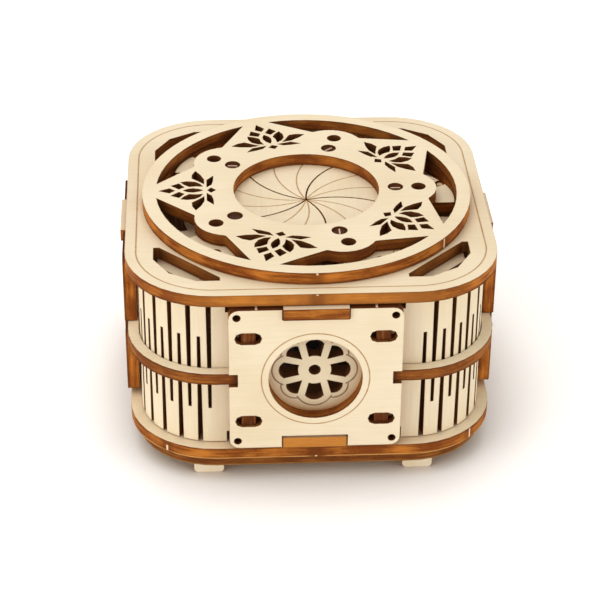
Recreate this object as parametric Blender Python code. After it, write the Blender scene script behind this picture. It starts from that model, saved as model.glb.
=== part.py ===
"""A wooden puzzle music box with an iris in its lid, in metres, +Z up, standing on z = 0.

The front of the box faces -Y. Flat sheets of plywood stack and slot together: two base plates on four
feet, four side panels with a sound rosette behind each, slit plywood bent round the four corners, three
inner shelves and a lid. A round star plate turns on the lid and swings five iris blades, and a small
hand-cranked movement stands inside.
"""

import math

import bmesh
import bpy
from mathutils import Matrix, Vector

MM = 0.001

# The sheet, and the fits between sheets
SHEET = 3.7 * MM
GAP = 0.3 * MM
SLOT_FIT = 0.2 * MM

# The outline that the lid, the base and the corner bands share
SIDE = 110.0 * MM
CORNER_RADIUS = 26.0 * MM
BASE_LOWER_INSET = 2.2 * MM

# The height between the upper base plate and the lid that the corner walls fill
WALL_HEIGHT = 49.2 * MM

# The feet
FOOT_HEIGHT = 4.0 * MM
FOOT_WIDTH = 9.0 * MM
FOOT_ROUND = 1.2 * MM
FOOT_TENON_WIDTH = 5.0 * MM
FOOT_ALONG = 31.5 * MM
FOOT_INSET = 4.8 * MM

# The side panels
PANEL_HEIGHT = 48.1 * MM
PANEL_WIDTH = 50.5 * MM
PANEL_ROUND = 3.0 * MM
PANEL_PROUD = 1.0 * MM
PANEL_TAB_WIDTH = 19.0 * MM
PANEL_KEY_FROM_SIDE = 5.7 * MM
PANEL_KEY_FROM_TOP = 9.6 * MM
PANEL_KEY_WIDTH = 4.2 * MM
PANEL_KEY_SLOT = 8.0 * MM
PANEL_KEY_RECESS = 1.0 * MM
PANEL_HOLE_FROM_SIDE = 2.4 * MM
PANEL_HOLE_FROM_TOP = 2.5 * MM
PANEL_HOLE_RADIUS = 1.2 * MM
PANEL_OPENING_RADIUS = 13.75 * MM
TOP_TAB_PROUD = 0.8 * MM
FLOOR_TAB_RECESS = 0.3 * MM

# The rosette behind each panel
ROSETTE_RADIUS = 16.5 * MM
ROSETTE_BEHIND_PANEL = 1.3 * MM
ROSETTE_HUB_RADIUS = 1.8 * MM
ROSETTE_PETAL_OUTER = 10.6 * MM
ROSETTE_AXIS_PETAL_INNER = 4.9 * MM
ROSETTE_AXIS_PETAL_NECK = 1.75 * MM
ROSETTE_AXIS_PETAL_WIDE = 2.8 * MM
ROSETTE_AXIS_PETAL_SHOULDER = 9.1 * MM
ROSETTE_SLANT_PETAL_INNER = 5.15 * MM
ROSETTE_SLANT_PETAL_REACH = 9.7 * MM
ROSETTE_SLANT_PETAL_ANGLE = math.radians(14.5)

# The slit corner walls and the bands round them
WALL_INSET = 3.5 * MM
WALL_BEHIND_PANEL = 3.1 * MM
SLITS = 11
SLIT_WIDTH = 1.0 * MM
SLIT_MOUTH = 1.55 * MM
SLIT_PITCH = 3.04 * MM
SLIT_FIRST = 8.7 * MM
SLIT_STOP = 12.1 * MM
WALL_NOTCH_SHOWN = 0.8 * MM
WALL_NOTCH_HEIGHT = 3.7 * MM
BAND_NOTCH_DEPTH = 2.6 * MM

# The openings of the inner shelves
LOWER_SHELF_WINDOW_X = 64.0 * MM
LOWER_SHELF_WINDOW_Y = 60.0 * MM
LOWER_SHELF_WINDOW_ROUND = 6.0 * MM
SHELF_WINDOWS = 8
SHELF_WINDOW_INNER = 35.0 * MM
SHELF_WINDOW_OUTER = 45.0 * MM
SHELF_WINDOW_ANGLE = math.radians(33.0)
TOP_FRAME_INSET = 9.5 * MM
TOP_FRAME_CORNER_AT = 54.3 * MM
TOP_FRAME_TAB_WIDTH = 3.6 * MM
TOP_FRAME_TAB_AT = 57.9 * MM
FRAME_WINDOW_INNER = 38.0 * MM
FRAME_WINDOW_OUTER = 45.3 * MM
FRAME_PIN_BRIDGE = (math.radians(5.0), math.radians(20.0))
FRAME_PLAIN_BRIDGE = (math.radians(-20.0), math.radians(-7.0))

# The well under the iris
WELL_RADIUS = 24.5 * MM
WELL_RING_RADIUS = 30.0 * MM

# The lid
LID_HOLE_RADIUS = 48.4 * MM
LID_SLOT_INSET = 8.4 * MM
LID_SLOT_CHORD = 51.0 * MM
LID_SLOT_END = 27.3 * MM
LID_SLOT_BEND = 34.0 * MM
LID_SLOT_CORNER_AT = 59.3 * MM

# The star plate and the ring that centres it
POINTS = 5
STAR_RADIUS = 50.2 * MM
STAR_RIM_INNER = 46.0 * MM
STAR_WINDOW_RADIUS = 22.3 * MM
STAR_TIP_ANGLE = math.radians(30.6)
STAR_SHOULDER_X = 36.7 * MM
STAR_SHOULDER_Y = 7.6 * MM
STAR_SHOULDER_ROUND = 1.3 * MM
STAR_BUMP_REACH = 40.0 * MM
STAR_BUMP_RADIUS = 10.4 * MM
STAR_OUTER_HOLE_AT = 34.5 * MM
STAR_OUTER_HOLE_RADIUS = 2.25 * MM
RING_INNER = 46.2 * MM
RING_OUTER = 48.1 * MM

# The lotus cut in each point of the star, as shares of the rim's inner radius, outwards and sideways
LOTUS_TIP_SHARES = ((0.983, 0.0), (0.909, 0.035), (0.870, 0.0), (0.909, -0.035))
LOTUS_HEART_SHARES = (
    (0.822, 0.0),
    (0.790, 0.022),
    (0.754, 0.029),
    (0.712, 0.018),
    (0.683, 0.0),
    (0.712, -0.018),
    (0.754, -0.029),
    (0.790, -0.022),
)
LOTUS_SEED_SHARES = ((0.659, 0.0), (0.633, 0.035), (0.598, 0.0), (0.633, -0.035))
LOTUS_SIDE_SHARES = ((0.902, 0.068), (0.846, 0.100), (0.808, 0.045), (0.846, 0.017))
LOTUS_PETAL_SHARES = (
    (0.837, 0.117),
    (0.792, 0.128),
    (0.739, 0.118),
    (0.705, 0.090),
    (0.685, 0.049),
    (0.733, 0.055),
    (0.778, 0.049),
    (0.812, 0.079),
)
LOTUS_WING_SHARES = (
    (0.735, 0.270),
    (0.702, 0.215),
    (0.678, 0.150),
    (0.678, 0.082),
    (0.710, 0.117),
    (0.761, 0.165),
    (0.758, 0.217),
)
LOTUS_LEAF_SHARES = ((0.616, 0.199), (0.618, 0.132), (0.628, 0.076), (0.662, 0.038), (0.662, 0.141))

# The iris blades
PIVOT_AT = 27.4 * MM
PIVOT_PIN_RADIUS = 2.1 * MM
PIVOT_PIN_RECESS = 1.6 * MM
STAR_TRAVEL = math.radians(18.0)
BLADE_TRAVEL = math.radians(50.0)
BLADE_SPLIT = 0.2 * MM
BLADE_RING_CLEARANCE = 0.5 * MM
BLADE_BOSS_RADIUS = 4.4 * MM
BLADE_TAIL_LOW = 3.4 * MM
DRIVE_PIN_AT = 43.0 * MM
DRIVE_PIN_ANGLE = math.radians(11.5)
DRIVE_PIN_RADIUS = 0.9 * MM
DRIVE_NOTCH_FIT = 0.55 * MM
DRIVE_PIN_DROP = 0.2 * MM

# The movement
MOVEMENT_PLATE = 1.5 * MM
MOVEMENT_X = (-9.5 * MM, 27.5 * MM)
MOVEMENT_Y = (-21.0 * MM, 15.0 * MM)
CHEEK_THICKNESS = 1.6 * MM
CHEEK_WIDTH = 9.0 * MM
AXLE_RADIUS = 1.0 * MM
AXLE_END = 1.0 * MM
CHEEK_CLEAR = 1.0 * MM
DRUM_RADIUS = 6.0 * MM
DRUM_LENGTH = 19.0 * MM
DRUM_START = 3.2 * MM
DRUM_PINS = 48
DRUM_PIN_RISE = 0.5 * MM
DRUM_PIN_WIDTH = 0.5 * MM
DRUM_PIN_ROOT = 1.0 * MM
DRUM_TRACKS = 12
DRUM_TRACK_STEP = 5
WHEEL_TEETH = 20
WHEEL_RADIUS = 5.2 * MM
WHEEL_ROOT_RADIUS = 4.3 * MM
WHEEL_THICKNESS = 2.4 * MM
WHEEL_TOOTH_SHARES = ((0.0, 0), (0.3, 0), (0.5, 1), (0.8, 1))
WORM_RADIUS = 2.2 * MM
WORM_ROOT_RADIUS = 1.6 * MM
WORM_LENGTH = 8.0 * MM
WORM_RIBS = 5
SHAFT_RADIUS = 1.2 * MM
POST_WIDTH = 6.0 * MM
POST_AT = 9.0 * MM
COMB_TEETH = 18
COMB_LENGTH = 14.0 * MM
COMB_ROOT = 6.0 * MM
COMB_SLIT_SHORT = 1.0 * MM
COMB_THICKNESS = 1.0 * MM
COMB_SLIT = 0.35 * MM
COMB_TIP_GAP = 0.4 * MM
SCREW_RADIUS = 0.9 * MM
SCREW_HEAD_RADIUS = 1.8 * MM
SCREW_HEAD_HEIGHT = 1.1 * MM

# The crank behind the rear panel
CRANK_CLEAR = 1.5 * MM
CRANK_THROW = 14.0 * MM
CRANK_HUB_RADIUS = 4.5 * MM
CRANK_END_RADIUS = 3.6 * MM
CRANK_SHAFT_PROUD = 0.5 * MM
KNOB_RADIUS = 3.3 * MM
KNOB_NECK_RADIUS = 2.5 * MM
KNOB_LENGTH = 10.0 * MM
KNOB_PIN_RADIUS = 1.0 * MM

# Each stuff's red, green and blue, its roughness and its metallic value
PLYWOOD = (0.83, 0.72, 0.53, 0.6, 0.0)
DOWEL = (0.72, 0.52, 0.30, 0.6, 0.0)
STEEL = (0.62, 0.62, 0.60, 0.35, 1.0)
BRASS = (0.78, 0.60, 0.28, 0.3, 1.0)

# How finely curves are drawn
CORNER_STEPS = 10
CIRCLE_STEPS = 64
WELL_STEPS = 48
RIM_STEPS = 80
SMALL_STEPS = 12
PIN_STEPS = 16
TURNED_STEPS = 24
SHARP_ANGLE = math.radians(40.0)

# Levels, from the floor up
PANEL_KEY_ALONG = PANEL_WIDTH / 2 - PANEL_KEY_FROM_SIDE
PANEL_KEY_RISE = PANEL_HEIGHT / 2 - PANEL_KEY_FROM_TOP
PANEL_HOLE_ALONG = PANEL_WIDTH / 2 - PANEL_HOLE_FROM_SIDE
PANEL_HOLE_RISE = PANEL_HEIGHT / 2 - PANEL_HOLE_FROM_TOP
BASE_LOWER_Z = FOOT_HEIGHT + GAP
BASE_UPPER_Z = BASE_LOWER_Z + SHEET + GAP
WALL_Z = BASE_UPPER_Z + SHEET + GAP
WALL_TOP = WALL_Z + WALL_HEIGHT
MIDDLE_Z = WALL_Z + WALL_HEIGHT / 2
LOWER_SHELF_Z = MIDDLE_Z - PANEL_KEY_RISE - SHEET / 2
UPPER_SHELF_Z = MIDDLE_Z + PANEL_KEY_RISE - SHEET / 2
TOP_FRAME_Z = WALL_TOP - SHEET
LID_Z = WALL_TOP + GAP
STAR_Z = LID_Z + SHEET + GAP
STAR_TOP = STAR_Z + SHEET
WELL_RING_Z = UPPER_SHELF_Z + SHEET + GAP

# Places that follow from the sizes above
HALF = SIDE / 2
WALL_END = PANEL_WIDTH / 2 - WALL_BEHIND_PANEL
PANEL_SHORT = (WALL_HEIGHT - PANEL_HEIGHT) / 2
BAND_WIDTH = WALL_INSET - GAP
PANEL_FACE = HALF + PANEL_PROUD
PANEL_BACK = PANEL_FACE - SHEET
ROSETTE_FACE = PANEL_BACK - ROSETTE_BEHIND_PANEL
WALL_FACE = HALF - WALL_INSET
SHELF_HALF = ROSETTE_FACE - SHEET - GAP
NOTCH_RISE = SHEET / 2 + GAP
DRUM_Z = MIDDLE_Z - WORM_RADIUS - WHEEL_RADIUS - GAP
CRANK_Y = PANEL_FACE + CRANK_CLEAR
KNOB_Z = MIDDLE_Z - CRANK_THROW
FRONT_REACH = PANEL_FACE + TOP_TAB_PROUD
REAR_REACH = CRANK_Y + SHEET + GAP + KNOB_LENGTH
FORWARD = (REAR_REACH - FRONT_REACH) / 2


def clear_scene():
    """Starts from an empty scene."""
    for thing in list(bpy.data.objects):
        bpy.data.objects.remove(thing, do_unlink=True)


def finish(name, stuff):
    """A piece's own plain finish, from its stuff's colour, roughness and metallic value."""
    red, green, blue, roughness, metallic = stuff
    material = bpy.data.materials.new(name)
    material.use_nodes = True
    shader = material.node_tree.nodes["Principled BSDF"]
    shader.inputs["Base Color"].default_value = (red, green, blue, 1.0)
    shader.inputs["Roughness"].default_value = roughness
    shader.inputs["Metallic"].default_value = metallic
    return material


def arc(centre, radius, start, end, steps):
    """Points on an arc, both ends included."""
    return [
        (
            centre[0] + radius * math.cos(start + (end - start) * k / steps),
            centre[1] + radius * math.sin(start + (end - start) * k / steps),
        )
        for k in range(steps + 1)
    ]


def circle(radius, steps, centre=(0.0, 0.0)):
    """A closed round outline."""
    return arc(centre, radius, 0.0, 2 * math.pi, steps)[:-1]


def rounded_box(half_x, half_y, radius, steps):
    """A rectangle with round corners."""
    points = []
    for quarter, (sx, sy) in enumerate(((1, 1), (-1, 1), (-1, -1), (1, -1))):
        centre = (sx * (half_x - radius), sy * (half_y - radius))
        points += arc(centre, radius, quarter * math.pi / 2, (quarter + 1) * math.pi / 2, steps)
    return points


def rounded_square(half, radius):
    """The plan of the lid, of the base plates and of the shelves."""
    return rounded_box(half, half, radius, CORNER_STEPS)


def long_slot(centre, length, height, steps):
    """A slot with round ends, along X."""
    radius = height / 2
    reach = length / 2 - radius
    right = arc((centre[0] + reach, centre[1]), radius, -math.pi / 2, math.pi / 2, steps)
    left = arc((centre[0] - reach, centre[1]), radius, math.pi / 2, 3 * math.pi / 2, steps)
    return right + left


def box_outline(x_low, x_high, y_low, y_high):
    """A plain rectangle."""
    return [(x_low, y_low), (x_high, y_low), (x_high, y_high), (x_low, y_high)]


def sector(inner, outer, start, end, steps):
    """A window between two radii and two angles."""
    return arc((0.0, 0.0), outer, start, end, steps) + arc((0.0, 0.0), inner, end, start, steps)


def turned(points, angle):
    """The same outline turned round the origin."""
    c, s = math.cos(angle), math.sin(angle)
    return [(c * x - s * y, s * x + c * y) for x, y in points]


def add_object(name, mesh, stuff, place=None, parent=None):
    """Puts a mesh in the scene at its place, with its finish where it has one."""
    thing = bpy.data.objects.new(name, mesh)
    bpy.context.scene.collection.objects.link(thing)
    if stuff:
        mesh.materials.append(finish(name, stuff))
    thing.matrix_world = place or Matrix.Identity(4)
    if parent:
        bpy.context.view_layer.update()
        thing.parent = parent
        thing.matrix_parent_inverse = parent.matrix_world.inverted()
    return thing


def sheet_mesh(name, loops, low, thickness):
    """A flat sheet: the first loop is its outline, and the others are holes in it."""
    face = bmesh.new()
    edges = []
    for loop in loops:
        corners = [face.verts.new((x, y, 0.0)) for x, y in loop]
        edges += [face.edges.new(pair) for pair in zip(corners, corners[1:] + corners[:1])]
    face.verts.index_update()
    bmesh.ops.triangle_fill(face, use_beauty=True, use_dissolve=False, edges=edges)
    flat = [(v.co.x, v.co.y) for v in face.verts]
    triangles = [[v.index for v in f.verts] for f in face.faces]
    face.free()
    count = len(flat)
    points = [(x, y, low) for x, y in flat] + [(x, y, low + thickness) for x, y in flat]
    faces = [tuple(t) for t in triangles] + [tuple(i + count for i in reversed(t)) for t in triangles]
    first = 0
    for loop in loops:
        size = len(loop)
        for k in range(size):
            a, b = first + k, first + (k + 1) % size
            faces.append((a, b, b + count, a + count))
        first += size
    mesh = bpy.data.meshes.new(name)
    mesh.from_pydata(points, [], faces)
    solid = bmesh.new()
    solid.from_mesh(mesh)
    bmesh.ops.recalc_face_normals(solid, faces=solid.faces)
    solid.to_mesh(mesh)
    solid.free()
    return mesh


def flat_sheet(name, loops, low, stuff, thickness=SHEET, place=None, parent=None):
    """A horizontal sheet with its lower face at a height."""
    return add_object(name, sheet_mesh(name, loops, low, thickness), stuff, place, parent)


def facing(side, distance, height):
    """The place of an upright sheet on side 0 (front), 1 (right), 2 (rear) or 3 (left).

    The sheet's own X runs along the side, its Y runs up, and its thickness runs outwards from a distance.
    """
    turn = Matrix.Rotation(side * math.pi / 2, 4, "Z")
    stand = Matrix.Rotation(math.pi / 2, 4, "X")
    return turn @ Matrix.Translation((0.0, -distance, height)) @ stand


def turned_mesh(name, profile, steps):
    """A round piece from (distance along Z, radius) pairs, closed at both ends."""
    body = bmesh.new()
    rings = []
    for along, radius in profile:
        rings.append([body.verts.new((x, y, along)) for x, y in circle(radius, steps)])
    for low, high in zip(rings, rings[1:]):
        for k in range(steps):
            n = (k + 1) % steps
            body.faces.new((low[k], low[n], high[n], high[k]))
    body.faces.new(tuple(reversed(rings[0])))
    body.faces.new(tuple(rings[-1]))
    bmesh.ops.recalc_face_normals(body, faces=body.faces)
    mesh = bpy.data.meshes.new(name)
    body.to_mesh(mesh)
    body.free()
    mesh.shade_smooth()
    mesh.set_sharp_from_angle(angle=SHARP_ANGLE)
    return mesh


def bar_mesh(name, low, high):
    """A rectangular block between two corners."""
    outline = box_outline(low[0], high[0], low[1], high[1])
    return sheet_mesh(name, [outline], low[2], high[2] - low[2])


def join(target, others):
    """Joins hidden blocks to a piece."""
    for number, other in enumerate(others):
        other.hide_render = True
        other.display_type = "WIRE"
        union = target.modifiers.new(f"join_{number}", "BOOLEAN")
        union.operation = "UNION"
        union.solver = "EXACT"
        union.object = other


# The base, its feet and the inner floor


def build_base(wood):
    """Two stacked base plates, with a slot for each foot in the lower one, and the four feet."""
    slot_x = FOOT_TENON_WIDTH / 2 + GAP
    foot_face = HALF - FOOT_INSET
    slots = []
    for sx in (-1, 1):
        for sy in (-1, 1):
            edges = sorted((sy * (foot_face + GAP), sy * (foot_face - SHEET - GAP)))
            slots.append(box_outline(sx * FOOT_ALONG - slot_x, sx * FOOT_ALONG + slot_x, *edges))
    lower_half = HALF - BASE_LOWER_INSET
    outline = rounded_square(lower_half, CORNER_RADIUS - BASE_LOWER_INSET)
    flat_sheet("base_lower", [outline] + slots, BASE_LOWER_Z, wood)
    flat_sheet("base_upper", [rounded_square(HALF, CORNER_RADIUS)], BASE_UPPER_Z, wood)

    half = FOOT_WIDTH / 2
    tenon = FOOT_TENON_WIDTH / 2
    tenon_top = BASE_LOWER_Z + SHEET
    outline = arc((-half + FOOT_ROUND, FOOT_ROUND), FOOT_ROUND, math.pi, 1.5 * math.pi, SMALL_STEPS // 4)
    outline += arc((half - FOOT_ROUND, FOOT_ROUND), FOOT_ROUND, 1.5 * math.pi, 2 * math.pi, SMALL_STEPS // 4)
    outline += [(half, FOOT_HEIGHT), (tenon, FOOT_HEIGHT), (tenon, tenon_top)]
    outline += [(-tenon, tenon_top), (-tenon, FOOT_HEIGHT), (-half, FOOT_HEIGHT)]
    for side, depth in ((0, "front"), (2, "rear")):
        for along, hand in ((-FOOT_ALONG, "left"), (FOOT_ALONG, "right")):
            shift = along if side == 0 else -along
            place = facing(side, foot_face - SHEET, 0.0) @ Matrix.Translation((shift, 0.0, 0.0))
            flat_sheet(f"foot_{depth}_{hand}", [outline], 0.0, wood, place=place)


# The side panels and their rosettes


def panel_outline():
    """One panel: round corners, a notch above and below for a tab, and one on each side for a band."""
    half_x, half_y = PANEL_WIDTH / 2, PANEL_HEIGHT / 2
    tab = PANEL_TAB_WIDTH / 2 + GAP
    side_x = half_x - BAND_NOTCH_DEPTH
    corner = (half_x - PANEL_ROUND, half_y - PANEL_ROUND)
    points = []
    for hand, deep in ((1, SHEET + GAP - PANEL_SHORT), (-1, SHEET + GAP)):
        right = [(side_x, NOTCH_RISE), (half_x, NOTCH_RISE)]
        right += arc(corner, PANEL_ROUND, 0.0, math.pi / 2, SMALL_STEPS // 3)
        right += [(tab, half_y), (tab, half_y - deep)]
        points += [(hand * x, hand * y) for x, y in right + [(-x, y) for x, y in reversed(right)]]
    return points


def build_panels(wood):
    """Four alike panels, each with a sound rosette right behind its round opening."""
    openings = [circle(PANEL_OPENING_RADIUS, WELL_STEPS)]
    for sx in (-1, 1):
        for sy in (-1, 1):
            key = (sx * PANEL_KEY_ALONG, sy * PANEL_KEY_RISE)
            openings.append(long_slot(key, PANEL_KEY_SLOT, SHEET + GAP, SMALL_STEPS // 3))
            hole = (sx * PANEL_HOLE_ALONG, sy * PANEL_HOLE_RISE)
            openings.append(circle(PANEL_HOLE_RADIUS, SMALL_STEPS, hole))
    for side, name in enumerate(("front", "right", "rear", "left")):
        place = facing(side, PANEL_BACK, MIDDLE_Z)
        flat_sheet(f"panel_{name}", [panel_outline()] + openings, 0.0, wood, place=place)
        place = facing(side, ROSETTE_FACE - SHEET, MIDDLE_Z)
        flat_sheet(f"rosette_{name}", rosette_loops(), 0.0, wood, place=place)


def round_end(near, far, half):
    """The arc from (near, -half) over (far, 0) to (near, half)."""
    rise = far - near
    radius = (half * half + rise * rise) / (2 * rise)
    spread = math.asin(half / radius)
    return arc((far - radius, 0.0), radius, -spread, spread, SMALL_STEPS // 2)


def rosette_loops():
    """A disc with a hub hole and eight petals, four on the axes and four between them."""
    far = ROSETTE_PETAL_OUTER
    neck = math.asin(ROSETTE_AXIS_PETAL_NECK / ROSETTE_AXIS_PETAL_INNER)
    upright = arc((0.0, 0.0), ROSETTE_AXIS_PETAL_INNER, neck, -neck, SMALL_STEPS // 4)
    upright += round_end(ROSETTE_AXIS_PETAL_SHOULDER, far, ROSETTE_AXIS_PETAL_WIDE)
    near = ROSETTE_SLANT_PETAL_REACH * math.cos(ROSETTE_SLANT_PETAL_ANGLE)
    half = ROSETTE_SLANT_PETAL_REACH * math.sin(ROSETTE_SLANT_PETAL_ANGLE)
    slanted = [(ROSETTE_SLANT_PETAL_INNER, 0.0)] + round_end(near, far, half)
    loops = [circle(ROSETTE_RADIUS, WELL_STEPS), circle(ROSETTE_HUB_RADIUS, SMALL_STEPS)]
    for quarter in range(4):
        loops.append(turned(upright, quarter * math.pi / 2))
        loops.append(turned(slanted, (quarter + 1 / 2) * math.pi / 2))
    return loops


# The slit corner walls and the bands


def wall_point(along, depth):
    """The plan place of a distance along the wall's outer face, at a depth behind that face."""
    centre = HALF - CORNER_RADIUS
    radius = CORNER_RADIUS - WALL_INSET
    straight = centre - WALL_END
    bend = radius * math.pi / 2
    if along <= straight:
        return -(WALL_END + along), -(WALL_FACE - depth)
    if along >= straight + bend:
        return -(WALL_FACE - depth), -(centre - (along - straight - bend))
    angle = (along - straight) / radius
    return -(centre + (radius - depth) * math.sin(angle)), -(centre + (radius - depth) * math.cos(angle))


def slit_edge(number, side, heights, turned_over):
    """One edge of a slit, as its place along the wall at each height: the slit widens to its open end."""
    edge = []
    for height in heights:
        rise = WALL_TOP - height if (number % 2 == 1) != turned_over else height - WALL_Z
        opened = max(0.0, rise - SLIT_STOP) / (WALL_HEIGHT - SLIT_STOP)
        width = SLIT_WIDTH + (SLIT_MOUTH - SLIT_WIDTH) * opened
        edge.append(SLIT_FIRST + number * SLIT_PITCH + side * width / 2)
    return edge


def wall_columns(heights, turned_over):
    """The wall as (start, end, lowest row, highest row), in rows 0 to 4, with the slits as short columns
    and a notch above and below at each end. A start or an end is a list with one place per height."""
    straight = HALF - CORNER_RADIUS - WALL_END
    bend = (CORNER_RADIUS - WALL_INSET) * math.pi / 2
    total = 2 * straight + bend
    notch = WALL_BEHIND_PANEL + WALL_NOTCH_SHOWN
    places = (0.0, notch, straight, straight + bend, total - notch, total)
    stops = [[place for _ in heights] for place in places]
    columns = [(stops[0], stops[1], 1, 3), (stops[1], stops[2], 0, 4)]
    at = stops[2]
    for number in range(SLITS):
        low, high = (slit_edge(number, side, heights, turned_over) for side in (-1, 1))
        columns.append((at, low, 0, 4))
        kept = (3, 4) if (number % 2 == 1) != turned_over else (0, 1)
        columns.append((low, high, *kept))
        at = high
    columns += [(at, stops[3], 0, 4), (stops[3], stops[4], 0, 4), (stops[4], stops[5], 1, 3)]
    return columns


def wall_mesh(name, turned_over):
    """A sheet bent round the front left corner, slit by turns from its top and from its bottom."""
    steps = (0.0, WALL_NOTCH_HEIGHT, SLIT_STOP)
    heights = [WALL_Z + step for step in steps] + [WALL_TOP - step for step in reversed(steps)]
    columns = wall_columns(heights, turned_over)
    body = bmesh.new()
    seen = {}

    def corner(edge, depth, level):
        key = (edge[level], depth, level)
        if key not in seen:
            x, y = wall_point(edge[level], depth)
            seen[key] = body.verts.new((x, y, heights[level]))
        return seen[key]

    def filled(column, row):
        return 0 <= column < len(columns) and columns[column][2] <= row <= columns[column][3]

    for number, (start, end, lowest, highest) in enumerate(columns):
        for row in range(lowest, highest + 1):
            low, high = row, row + 1
            for depth in (0.0, SHEET):
                body.faces.new([corner(*p) for p in (
                    (start, depth, low), (end, depth, low), (end, depth, high), (start, depth, high))])
            if not filled(number - 1, row):
                body.faces.new([corner(*p) for p in (
                    (start, 0.0, low), (start, SHEET, low),
                    (start, SHEET, high), (start, 0.0, high))])
            if not filled(number + 1, row):
                body.faces.new([corner(*p) for p in (
                    (end, 0.0, low), (end, SHEET, low),
                    (end, SHEET, high), (end, 0.0, high))])
            for next_row, level in ((row - 1, low), (row + 1, high)):
                if not filled(number, next_row):
                    body.faces.new([corner(*p) for p in (
                        (start, 0.0, level), (end, 0.0, level), (end, SHEET, level), (start, SHEET, level))])
    bmesh.ops.recalc_face_normals(body, faces=body.faces)
    mesh = bpy.data.meshes.new(name)
    body.to_mesh(mesh)
    body.free()
    return mesh


def build_corners(wood):
    """At each corner, the slit wall and the band that holds it half way up."""
    centre = -(HALF - CORNER_RADIUS)
    end = PANEL_WIDTH / 2 - BAND_NOTCH_DEPTH + GAP
    inner = CORNER_RADIUS - BAND_WIDTH
    outer_arc = arc((centre, centre), CORNER_RADIUS, 1.5 * math.pi, math.pi, CORNER_STEPS)
    inner_arc = arc((centre, centre), inner, math.pi, 1.5 * math.pi, CORNER_STEPS)
    band = [(-end, -HALF)] + outer_arc + [(-HALF, -end), (-HALF + BAND_WIDTH, -end)]
    band += inner_arc + [(-end, -HALF + BAND_WIDTH)]
    for quarter, name in enumerate(("front_left", "front_right", "rear_right", "rear_left")):
        place = Matrix.Rotation(quarter * math.pi / 2, 4, "Z")
        mesh = wall_mesh(f"corner_wall_{name}", quarter % 2 == 1)
        add_object(f"corner_wall_{name}", mesh, wood, place)
        flat_sheet(f"corner_band_{name}", [band], MIDDLE_Z - SHEET / 2, wood, place=place)


# The shelves, the well and the lid


def tabbed_square(half, radius, tabs):
    """A rounded square with the same tabs on each side, as (centre, width, reach) along the side."""
    quarter = []
    for middle, width, reach in sorted(tabs):
        for x, y in ((-width / 2, half), (-width / 2, reach), (width / 2, reach), (width / 2, half)):
            quarter.append((middle + x, -y))
    quarter += arc((half - radius, -half + radius), radius, -math.pi / 2, 0.0, CORNER_STEPS)
    return four_times(quarter)


def four_times(quarter):
    """A closed outline from the stretch that belongs to its front and its front right corner."""
    points = []
    for number in range(4):
        points += turned(quarter, number * math.pi / 2)
    return points


def top_frame_outline():
    """A square with its corners cut off straight, a wide tab on each side and a small one on each corner."""
    half = HALF - TOP_FRAME_INSET
    tab = PANEL_TAB_WIDTH / 2
    reach = PANEL_FACE + TOP_TAB_PROUD
    cut = TOP_FRAME_CORNER_AT * math.sqrt(2) - half
    quarter = [(-tab, -half), (-tab, -reach), (tab, -reach), (tab, -half), (cut, -half)]
    near, far = TOP_FRAME_CORNER_AT, TOP_FRAME_TAB_AT
    side = TOP_FRAME_TAB_WIDTH / 2
    quarter += turned([(near, -side), (far, -side), (far, side), (near, side)], -math.pi / 4)
    return four_times(quarter + [(half, -cut)])


def key_tabs(reach):
    """The two narrow tabs that a shelf has on each side."""
    return [(sign * PANEL_KEY_ALONG, PANEL_KEY_WIDTH, reach) for sign in (-1, 1)]


def build_shelves(wood):
    """The inner floor, the two shelves keyed into the panels, the well's ring and the top frame."""
    radius = CORNER_RADIUS - (HALF - SHELF_HALF)
    tab = [(0.0, PANEL_TAB_WIDTH, PANEL_FACE - FLOOR_TAB_RECESS)]
    flat_sheet("inner_floor", [tabbed_square(SHELF_HALF, radius, tab)], WALL_Z, wood)

    keys = key_tabs(PANEL_FACE - PANEL_KEY_RECESS)
    outline = tabbed_square(SHELF_HALF, radius, keys)
    window = rounded_box(
        LOWER_SHELF_WINDOW_X / 2, LOWER_SHELF_WINDOW_Y / 2, LOWER_SHELF_WINDOW_ROUND, SMALL_STEPS // 3
    )
    flat_sheet("lower_shelf", [outline, window], LOWER_SHELF_Z, wood)

    windows = []
    for number in range(SHELF_WINDOWS):
        middle = (number + 1 / 2) * 2 * math.pi / SHELF_WINDOWS
        ends = (middle - SHELF_WINDOW_ANGLE / 2, middle + SHELF_WINDOW_ANGLE / 2)
        windows.append(sector(SHELF_WINDOW_INNER, SHELF_WINDOW_OUTER, *ends, SMALL_STEPS // 3))
    flat_sheet("upper_shelf", [outline] + windows, UPPER_SHELF_Z, wood)

    ring_height = TOP_FRAME_Z - GAP - WELL_RING_Z
    rings = [circle(WELL_RING_RADIUS, WELL_STEPS), circle(WELL_RADIUS, WELL_STEPS)]
    flat_sheet("well_ring", rings, WELL_RING_Z, wood, thickness=ring_height)

    loops = [top_frame_outline(), circle(WELL_RADIUS, WELL_STEPS)]
    step = 2 * math.pi / POINTS
    for number in range(POINTS):
        ends = (FRAME_PLAIN_BRIDGE[1] + number * step, FRAME_PIN_BRIDGE[0] + number * step)
        loops.append(sector(FRAME_WINDOW_INNER, FRAME_WINDOW_OUTER, *ends, SMALL_STEPS // 4))
        ends = (FRAME_PIN_BRIDGE[1] + number * step, FRAME_PLAIN_BRIDGE[0] + (number + 1) * step)
        loops.append(sector(FRAME_WINDOW_INNER, FRAME_WINDOW_OUTER, *ends, SMALL_STEPS // 2))
        angle = DRIVE_PIN_ANGLE + number * step
        hole = (DRIVE_PIN_AT * math.cos(angle), DRIVE_PIN_AT * math.sin(angle))
        loops.append(circle(DRIVE_PIN_RADIUS + GAP, SMALL_STEPS, hole))
    flat_sheet("top_frame", loops, TOP_FRAME_Z, wood)


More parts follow.
